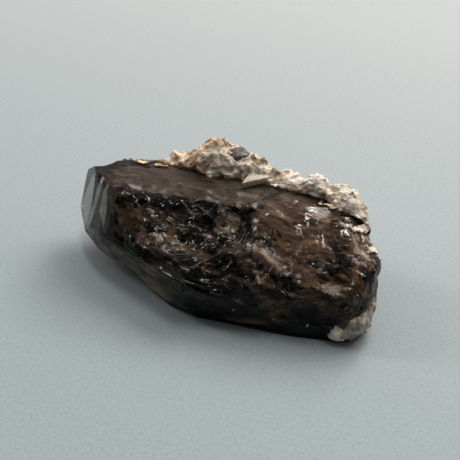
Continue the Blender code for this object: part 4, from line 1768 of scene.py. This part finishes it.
@dataclass
class RidgeCrust:
    """The feldspar crust along the top back edge.

    Args:
        around: mesh steps round the crust.
        lengthwise: mesh steps from station to station.
        square: how square the section is, 2 for round.
        grain_count: angular grains set into the skin.
        voxel: size of the remeshed skin, mm.
        seed: seed of the grains.
        bedded: how deep it reaches into the quartz, mm.
        crystal_gap: gap left round the small crystal, mm.
    """

    around: int = 48
    lengthwise: int = 5
    square: float = 2.3
    grain_count: int = 520
    voxel: float = 0.42
    seed: int = 23
    bedded: float = 0.5
    crystal_gap: float = 0.25

    def station(self, t: float) -> list:
        """Return the station values at a fractional place.

        Args:
            t: place along the stations, with 0 at the first.

        Returns:
            Place, depth and height there, mm.
        """
        i = min(int(t), len(CRUST_STATIONS) - 2)
        f = t - i
        return [a + (b - a) * f for a, b in zip(CRUST_STATIONS[i], CRUST_STATIONS[i + 1])]

    def body(self) -> BMesh:
        """Return the lumpy body swept along the stations.

        Returns:
            The body as one mesh.
        """
        steps = (len(CRUST_STATIONS) - 1) * self.lengthwise
        bm = bmesh.new()
        bmesh.ops.create_grid(bm, x_segments=steps, y_segments=self.around, size=0.5)
        for vert in bm.verts:
            x, y, z, depth, height = self.station((vert.co.x + 0.5) * (len(CRUST_STATIONS) - 1))
            angle = math.tau * (vert.co.y + 0.5)
            c, s = (math.copysign(abs(part) ** (2.0 / self.square), part)
                    for part in (math.cos(angle), math.sin(angle)))
            base = Vector((x, y + depth * c, z + height * s))
            lump = sum(h * noise.noise(base / cell + Vector((seed, seed * 0.37, seed * 0.71)))
                       for cell, h, seed in CRUST_LUMPS)
            vert.co = base + Vector((0.0, c, s)).normalized() * lump
        bmesh.ops.remove_doubles(bm, verts=bm.verts[:], dist=1e-3)
        bmesh.ops.holes_fill(bm, edges=[e for e in bm.edges if e.is_boundary], sides=0)
        bmesh.ops.recalc_face_normals(bm, faces=bm.faces[:])
        return bm

    def add_grains(self, bm: BMesh) -> None:
        """Set angular grains into the skin of the body.

        Args:
            bm: the body.
        """
        draw = random.Random(self.seed)
        faces = [f for f in bm.faces if f.calc_area() > 0.05 and len(f.verts) < 5]
        spots = [(f.calc_center_median(), f.normal.copy()) for f in draw.choices(faces, k=self.grain_count)]
        for centre, normal in spots:
            size = 0.7 + 2.1 * draw.random() ** 2.0
            shape = Matrix.Diagonal((*[size * draw.uniform(0.7, 1.3) for _ in range(3)], 1.0))
            turn = random_turn(draw)
            place = Matrix.Translation(centre + normal * draw.uniform(-0.55, 0.12))
            bmesh.ops.create_cube(bm, size=1.0, matrix=place @ turn @ shape)

    def mesh(self) -> BMesh:
        """Return the crust, bedded on the quartz and round the small crystal.

        Returns:
            The finished mesh.
        """
        bm = self.body()
        self.add_grains(bm)
        skin = fused(bm, "crust_work", self.voxel)
        trimmed = carved(carved(skin, quartz_block(-self.bedded)), SmallCrystal().prism(self.crystal_gap))
        points = points_of(trimmed)
        crumb = 0.22 * ridged_at(points, 1.1, 41.0) + 0.14 * noise_at(points, 0.55, 19.0) - 0.12
        place_points(trimmed, points + normals_of(trimmed) * crumb[:, None])
        mark_creases(trimmed, 42.0)
        return trimmed


@dataclass
class SmallCrystal:
    """The small dark crystal that stands in the crust.

    Args:
        base: the middle of its foot, mm.
        radius: distance of its sides that face X, and of the others, mm.
        height: its height, mm.
        tilt: turns about X, Y and Z, degrees.
        cuts: azimuth, elevation and distance of its end faces, degrees and mm.
        worn: width of its worn edges, mm.
    """

    base: tuple = (-15.2, 18.6, 24.2)
    radius: tuple = (3.5, 2.5)
    height: float = 10.2
    tilt: tuple = (6.0, 2.0, 18.0)
    cuts: tuple = ((200.0, 62.0, 9.55), (20.0, 52.0, 9.15), (-80.0, 50.0, 9.3))
    worn: float = 0.18

    def prism(self, grow: float) -> BMesh:
        """Return the six-sided prism with three cut end faces.

        Args:
            grow: how far every face is moved out, mm.

        Returns:
            The closed prism.
        """
        bm = bmesh.new()
        bmesh.ops.create_cube(bm, size=40.0)
        sides = [direction(60.0 * k, 0.0) for k in range(6)]
        cuts = [(side, self.radius[0] if abs(side.x) > 0.6 else self.radius[1]) for side in sides]
        cuts += [(Vector((0, 0, 1)), self.height), (Vector((0, 0, -1)), 0.0)]
        cuts += [(direction(az, el), dist) for az, el, dist in self.cuts]
        cut_planes(bm, Vector((0, 0, 0)), [(normal, dist + grow) for normal, dist in cuts])
        turn = Euler([math.radians(angle) for angle in self.tilt]).to_matrix().to_4x4()
        bmesh.ops.transform(bm, matrix=Matrix.Translation(Vector(self.base)) @ turn, verts=bm.verts[:])
        return bm

    def mesh(self) -> BMesh:
        """Return the crystal with worn edges.

        Returns:
            The finished mesh.
        """
        bm = self.prism(0.0)
        wear(bm, self.worn)
        return bm


@dataclass
class FootCrust:
    """The pale crust patch on the lower corner of the root.

    Args:
        lumps: middle and half sizes of its lumps, mm.
        grain_count: angular grains set into them.
        voxel: size of the remeshed skin, mm.
        seed: seed of the grains.
        bedded: how deep it reaches into the quartz, mm.
        clearance: height of its lowest point, mm.
    """

    lumps: tuple = (((35.4, -8.4, 7.0), (3.6, 4.0, 3.7)), ((33.4, -10.2, 4.4), (3.4, 2.9, 2.7)),
                    ((36.8, -5.4, 9.8), (2.4, 3.6, 2.9)))
    grain_count: int = 90
    voxel: float = 0.32
    seed: int = 5
    bedded: float = 0.5
    clearance: float = 0.3

    def mesh(self) -> BMesh:
        """Return the patch: lumps and grains fused to one skin.

        Returns:
            The finished mesh.
        """
        draw = random.Random(self.seed)
        bm = bmesh.new()
        for middle, size in self.lumps:
            matrix = Matrix.Translation(Vector(middle)) @ Matrix.Diagonal((*size, 1.0))
            bmesh.ops.create_icosphere(bm, subdivisions=3, radius=1.0, matrix=matrix)
        faces = draw.choices(list(bm.faces), k=self.grain_count)
        for centre, normal in [(f.calc_center_median(), f.normal.copy()) for f in faces]:
            size = 0.6 + 1.5 * draw.random() ** 2.0
            place = Matrix.Translation(centre - normal * 0.4)
            bmesh.ops.create_cube(bm, size=size, matrix=place @ random_turn(draw))
        trimmed = carved(fused(bm, "foot_work", self.voxel), quartz_block(-self.bedded))
        points = points_of(trimmed)
        crumb = 0.3 * noise_at(points, 2.4, 91.0) + 0.14 * ridged_at(points, 0.9, 97.0) - 0.15
        points = points + normals_of(trimmed) * crumb[:, None]
        points[:, 2] = np.maximum(points[:, 2], self.clearance)
        place_points(trimmed, points)
        mark_creases(trimmed, 40.0)
        return trimmed


@dataclass
class PalePlate:
    """The translucent plate that reaches forward from the crust.

    Args:
        corners: X and Y of its three corners, mm.
        bottom: height of its lower face, mm.
        thickness: its thickness, mm.
        worn: width of its worn edges, mm.
    """

    corners: tuple = ((-8.4, 7.6), (-2.4, 15.2), (-9.6, 18.0))
    bottom: float = 28.3
    thickness: float = 1.9
    worn: float = 0.12

    def mesh(self) -> BMesh:
        """Return the three-cornered plate with worn, bright edges.

        Returns:
            The finished mesh.
        """
        bm = bmesh.new()
        outline = [bm.verts.new((x, y, self.bottom)) for x, y in self.corners]
        sole = bmesh.ops.contextual_create(bm, geom=outline)["faces"]
        raised = bmesh.ops.extrude_face_region(bm, geom=sole, use_keep_orig=True)["geom"]
        lifted = [g for g in raised if isinstance(g, BMVert)]
        bmesh.ops.translate(bm, vec=(0.0, 0.0, self.thickness), verts=lifted)
        bmesh.ops.recalc_face_normals(bm, faces=bm.faces[:])
        wear(bm, self.worn)
        return bm


# ---------------------------------------------------------------- studio
@dataclass(frozen=True)
class SoftLight:
    """A soft rectangular light.

    Args:
        name: its name.
        place: where it hangs, m.
        size: its width and height, m.
        power: its power, W.
        colour: its colour.
        aim: the point it faces, m.
    """

    name: str
    place: tuple
    size: tuple
    power: float
    colour: tuple = (1.0, 0.98, 0.96)
    aim: tuple = (0.0, 0.0, 0.02)

    def hang(self) -> None:
        """Hang the light."""
        light = bpy.data.lights.new(self.name, "AREA")
        light.shape = "RECTANGLE"
        light.size, light.size_y = self.size
        light.energy = self.power
        light.color = self.colour
        lamp = bpy.data.objects.new(self.name, light)
        lamp.location = self.place
        lamp.rotation_euler = (Vector(self.aim) - Vector(self.place)).to_track_quat("-Z", "Y").to_euler()
        bpy.context.scene.collection.objects.link(lamp)


@dataclass
class Studio:
    """Grey floor with painted light falloff in its colour, soft light and the camera.

    Args:
        floor_size: length of the floor's sides, m.
        near_shaded_colour: the floor in front, darker as painted shade.
        far_lit_colour: the floor behind, lighter as painted light.
        painted_falloff: Y where the one starts and ends to give way to the other, m.
        grain: brightness of the floor's grain.
        sky_lean: direction of the brightest sky.
        sky: place and colour of the sky's stops.
        sky_strength: brightness of the sky.
        lights: the lights.
        camera_place: where the camera stands, mm.
        camera_turn: its turn about Z, degrees.
        camera_tilt: how far it looks down, degrees.
        lens: its focal length, mm.
    """

    floor_size: float = 3.0
    # Painted light falloff: the floor's colour is darker in front and lighter behind, as though lit from
    # behind
    near_shaded_colour: tuple = (0.40, 0.46, 0.48, 1.0)
    far_lit_colour: tuple = (0.53, 0.555, 0.56, 1.0)
    painted_falloff: tuple = (-0.07, 0.24)
    grain: tuple = ((0.25, (0.80, 0.80, 0.80)), (0.45, (1.0, 1.0, 1.0)), (0.75, (1.12, 1.12, 1.12)))
    sky_lean: tuple = (-0.12, 0.76, 0.62)
    sky: tuple = ((0.34, (0.06, 0.057, 0.054)), (0.64, (0.36, 0.35, 0.34)), (0.90, (0.52, 0.505, 0.49)))
    sky_strength: float = 0.85
    lights: tuple = (SoftLight("pane_left", (-1.25, -0.15, 0.95), (0.16, 0.70), 3.0),
                     SoftLight("pane_back", (0.10, 1.25, 0.95), (0.09, 0.60), 1.7),
                     SoftLight("pane_top", (0.15, 0.10, 1.60), (0.50, 0.14), 3.0),
                     SoftLight("soft_panel", (0.30, 0.95, 1.10), (1.2, 0.8), 9.5, (1.0, 0.96, 0.92),
                               (0.0, 0.02, 0.02)))
    camera_place: tuple = (103.637, -186.900, 156.210)
    camera_turn: float = 28.0
    camera_tilt: float = 33.0
    lens: float = 67.77

    def lay_floor(self) -> None:
        """Lay the floor under the stone, its colour lighter behind and darker in front as painted light
        falloff.
        """
        bm = bmesh.new()
        bmesh.ops.create_grid(bm, x_segments=1, y_segments=1, size=self.floor_size / 2.0)
        floor = scene_object(bm, "floor")
        bench = MaterialBench("pale_floor")
        cloud = bench.span(bench.noise(9.0, 5.0, 0.6), -0.02, 0.02)
        # Painted light: the floor's colour runs from darker in front to lighter behind
        away = bench.span(bench.maths("ADD", bench.axis("Y"), cloud), 0.0, 1.0, *self.painted_falloff)
        shade = bench.blend(away, self.near_shaded_colour, self.far_lit_colour, "RGBA")
        grain = bench.colours(bench.noise(1100.0, 3.0, 0.7), self.grain)
        bench.shade(Specular_IOR_Level=0.2, Roughness=bench.span(bench.noise(30.0), 0.6, 0.8),
                    Base_Color=bench.blend(0.8, shade, grain, "RGBA", blend_type="MULTIPLY"))
        floor.data.materials.append(bench.material)

    def paint_sky(self) -> None:
        """Surround the stage with a soft sky, bright behind and dim in front."""
        world = bpy.data.worlds.new("soft_sky")
        bpy.context.scene.world = world
        world.use_nodes = True
        bench = NodeBench(world.node_tree, "Generated")
        values = {0: bench.coordinates, 1: self.sky_lean}
        leant = bench.add("VectorMath", "Value", values, operation="DOT_PRODUCT")
        colour = bench.colours(bench.span(leant, 0.0, 1.0, -1.0), self.sky)
        bench.feed(bench.tree.nodes["Background"].inputs, {"Color": colour, "Strength": self.sky_strength})

    def stand_camera(self) -> None:
        """Stand the camera where the stone is looked at from."""
        camera = bpy.data.cameras.new("camera")
        camera.sensor_width = 36.0
        camera.lens = self.lens
        camera.clip_start = 0.01
        stand = bpy.data.objects.new("camera", camera)
        stand.location = Vector(self.camera_place) * MM
        stand.rotation_euler = (math.radians(90.0 - self.camera_tilt), 0.0, math.radians(self.camera_turn))
        bpy.context.scene.collection.objects.link(stand)
        bpy.context.scene.camera = stand

    def build(self) -> None:
        """Set up the whole stage."""
        self.lay_floor()
        self.paint_sky()
        for light in self.lights:
            light.hang()
        self.stand_camera()
        view = bpy.context.scene.view_settings
        view.view_transform = "Standard"
        view.look = "High Contrast"


def inner_pieces() -> dict:
    """Return what lies in and on the quartz, each with its slot and finish.

    Returns:
        A dictionary from piece name to slot, finish and the part that makes the mesh.
    """
    shown = FRONT_FACES + ROOT_FACES
    quartz, feldspar = "smoky_quartz", "feldspar_crust"
    arcs = tuple(ribbon for fan in GLINT_ARC_FANS for ribbon in fan.ribbons())
    return {
        # Partly real fractures, partly painted glints
        "glint_films": (quartz, "silver", FractureLayer(
            GLINT_ZONES, shown, depth=1.3, edge=0.45, cell=1.1, drawn=2.6, keep=0.20, wobble=0.5, seed=2.0,
            wall=0.08, dive=0.8, start=0.25, soft=0.25)),
        "tan_films": (quartz, "tan", FractureLayer(
            TAN_ZONES, shown, depth=1.9, edge=0.55, cell=1.9, drawn=4.0, keep=0.02, wobble=0.7, seed=12.0,
            wall=0.10, dive=0.8, start=0.08, soft=0.30)),
        "brown_clouds": (quartz, "glow", FractureLayer(
            GLOW_ZONES, shown, depth=2.2, edge=0.7, cell=4.2, drawn=2.4, keep=EVERYWHERE, wobble=0.9,
            seed=22.0, wall=0.15, dive=1.2, start=-0.50, soft=0.75)),
        "back_clouds": (quartz, "glow", FractureLayer(
            BACK_ZONES, BACK_FACES, depth=2.0, edge=1.2, cell=5.0, drawn=2.0, keep=EVERYWHERE, wobble=0.9,
            seed=72.0, wall=0.15, dive=1.2, start=-0.30, soft=0.60)),
        "satin_haze": (quartz, "haze", FractureLayer(
            TOP_ZONES, TOP_FACES + ("front_brow",), depth=0.7, edge=0.9, cell=3.0, drawn=5.0, keep=-0.45,
            wobble=0.25, seed=42.0)),
        # Painted reflection in the tip facets
        "tip_painted_reflection": (quartz, "painted_reflection", FacetPlates(TIP_PAINTED_REFLECTION)),
        # Painted shade seen through the clear tip
        "tip_shade_backing": (quartz, "shade_backing", FacetPlates(TIP_SHADE_BACKING)),
        "crust_skin": (feldspar, "feldspar", FractureLayer(
            SKIN_ZONES, shown + TOP_FACES, depth=0.0, edge=0.6, cell=2.4, drawn=1.3, keep=-0.02, wobble=0.12,
            seed=52.0, wall=0.35, lift=0.12)),
        # Painted reflection of the floor in the lower band
        "band_painted_reflection": (quartz, "band", FractureLayer(
            FLOOR_REFLECTION_ZONES, BAND_FACES, depth=0.5, edge=1.2, cell=7.0, drawn=3.0, keep=-0.9, wobble=0.2,
            seed=62.0, dive=1.5, start=-0.6, soft=0.8)),
        # Partly real fractures, partly painted glints along lines
        "glint_ribbons": (quartz, "silver", RibbonSet(GLINT_RIBBONS, 4.0)),
        "tan_ribbons": (quartz, "tan", RibbonSet(TAN_RIBBONS, 9.0)),
        # Painted highlights on the ripples of shell breaks
        "ripple_glint_arcs": (quartz, "silver", RibbonSet(arcs, 15.0)),
        # Painted sparkles of light under the skin
        "glint_specks": (quartz, "flake", SpeckField(GLINT_SPECK_ZONES)),
    }


def main() -> None:
    """Build the stone, its crusts and the stage."""
    logging.basicConfig(level=logging.INFO, format="%(name)s %(message)s")
    finishes = {name: finish.material() for name, finish in FINISHES.items()}
    quartz = QuartzBody()
    quartz.build(finishes["quartz"])
    for name, (slot, finish, part) in inner_pieces().items():
        finish_piece(part.mesh(quartz.finder), name, finishes[finish])
    stones = (
        (RidgeCrust(), "ridge_crust_stone", "feldspar_crust", "feldspar", ("ridge_crust",)),
        (SmallCrystal(), "small_dark_crystal", "dark_crystal", "dark_crystal", ("small_crystal",)),
        (FootCrust(), "foot_crust_stone", "pale_crust", "pale_stone", ("foot_crust",)),
        (PalePlate(), "pale_plate", "feldspar_crust", "pale_plate", ()),
    )
    for part, name, slot, finish, replaced in stones:
        finish_piece(part.mesh(), name, finishes[finish], replaced)
    Studio().build()


if __name__ == "__main__":
    main()
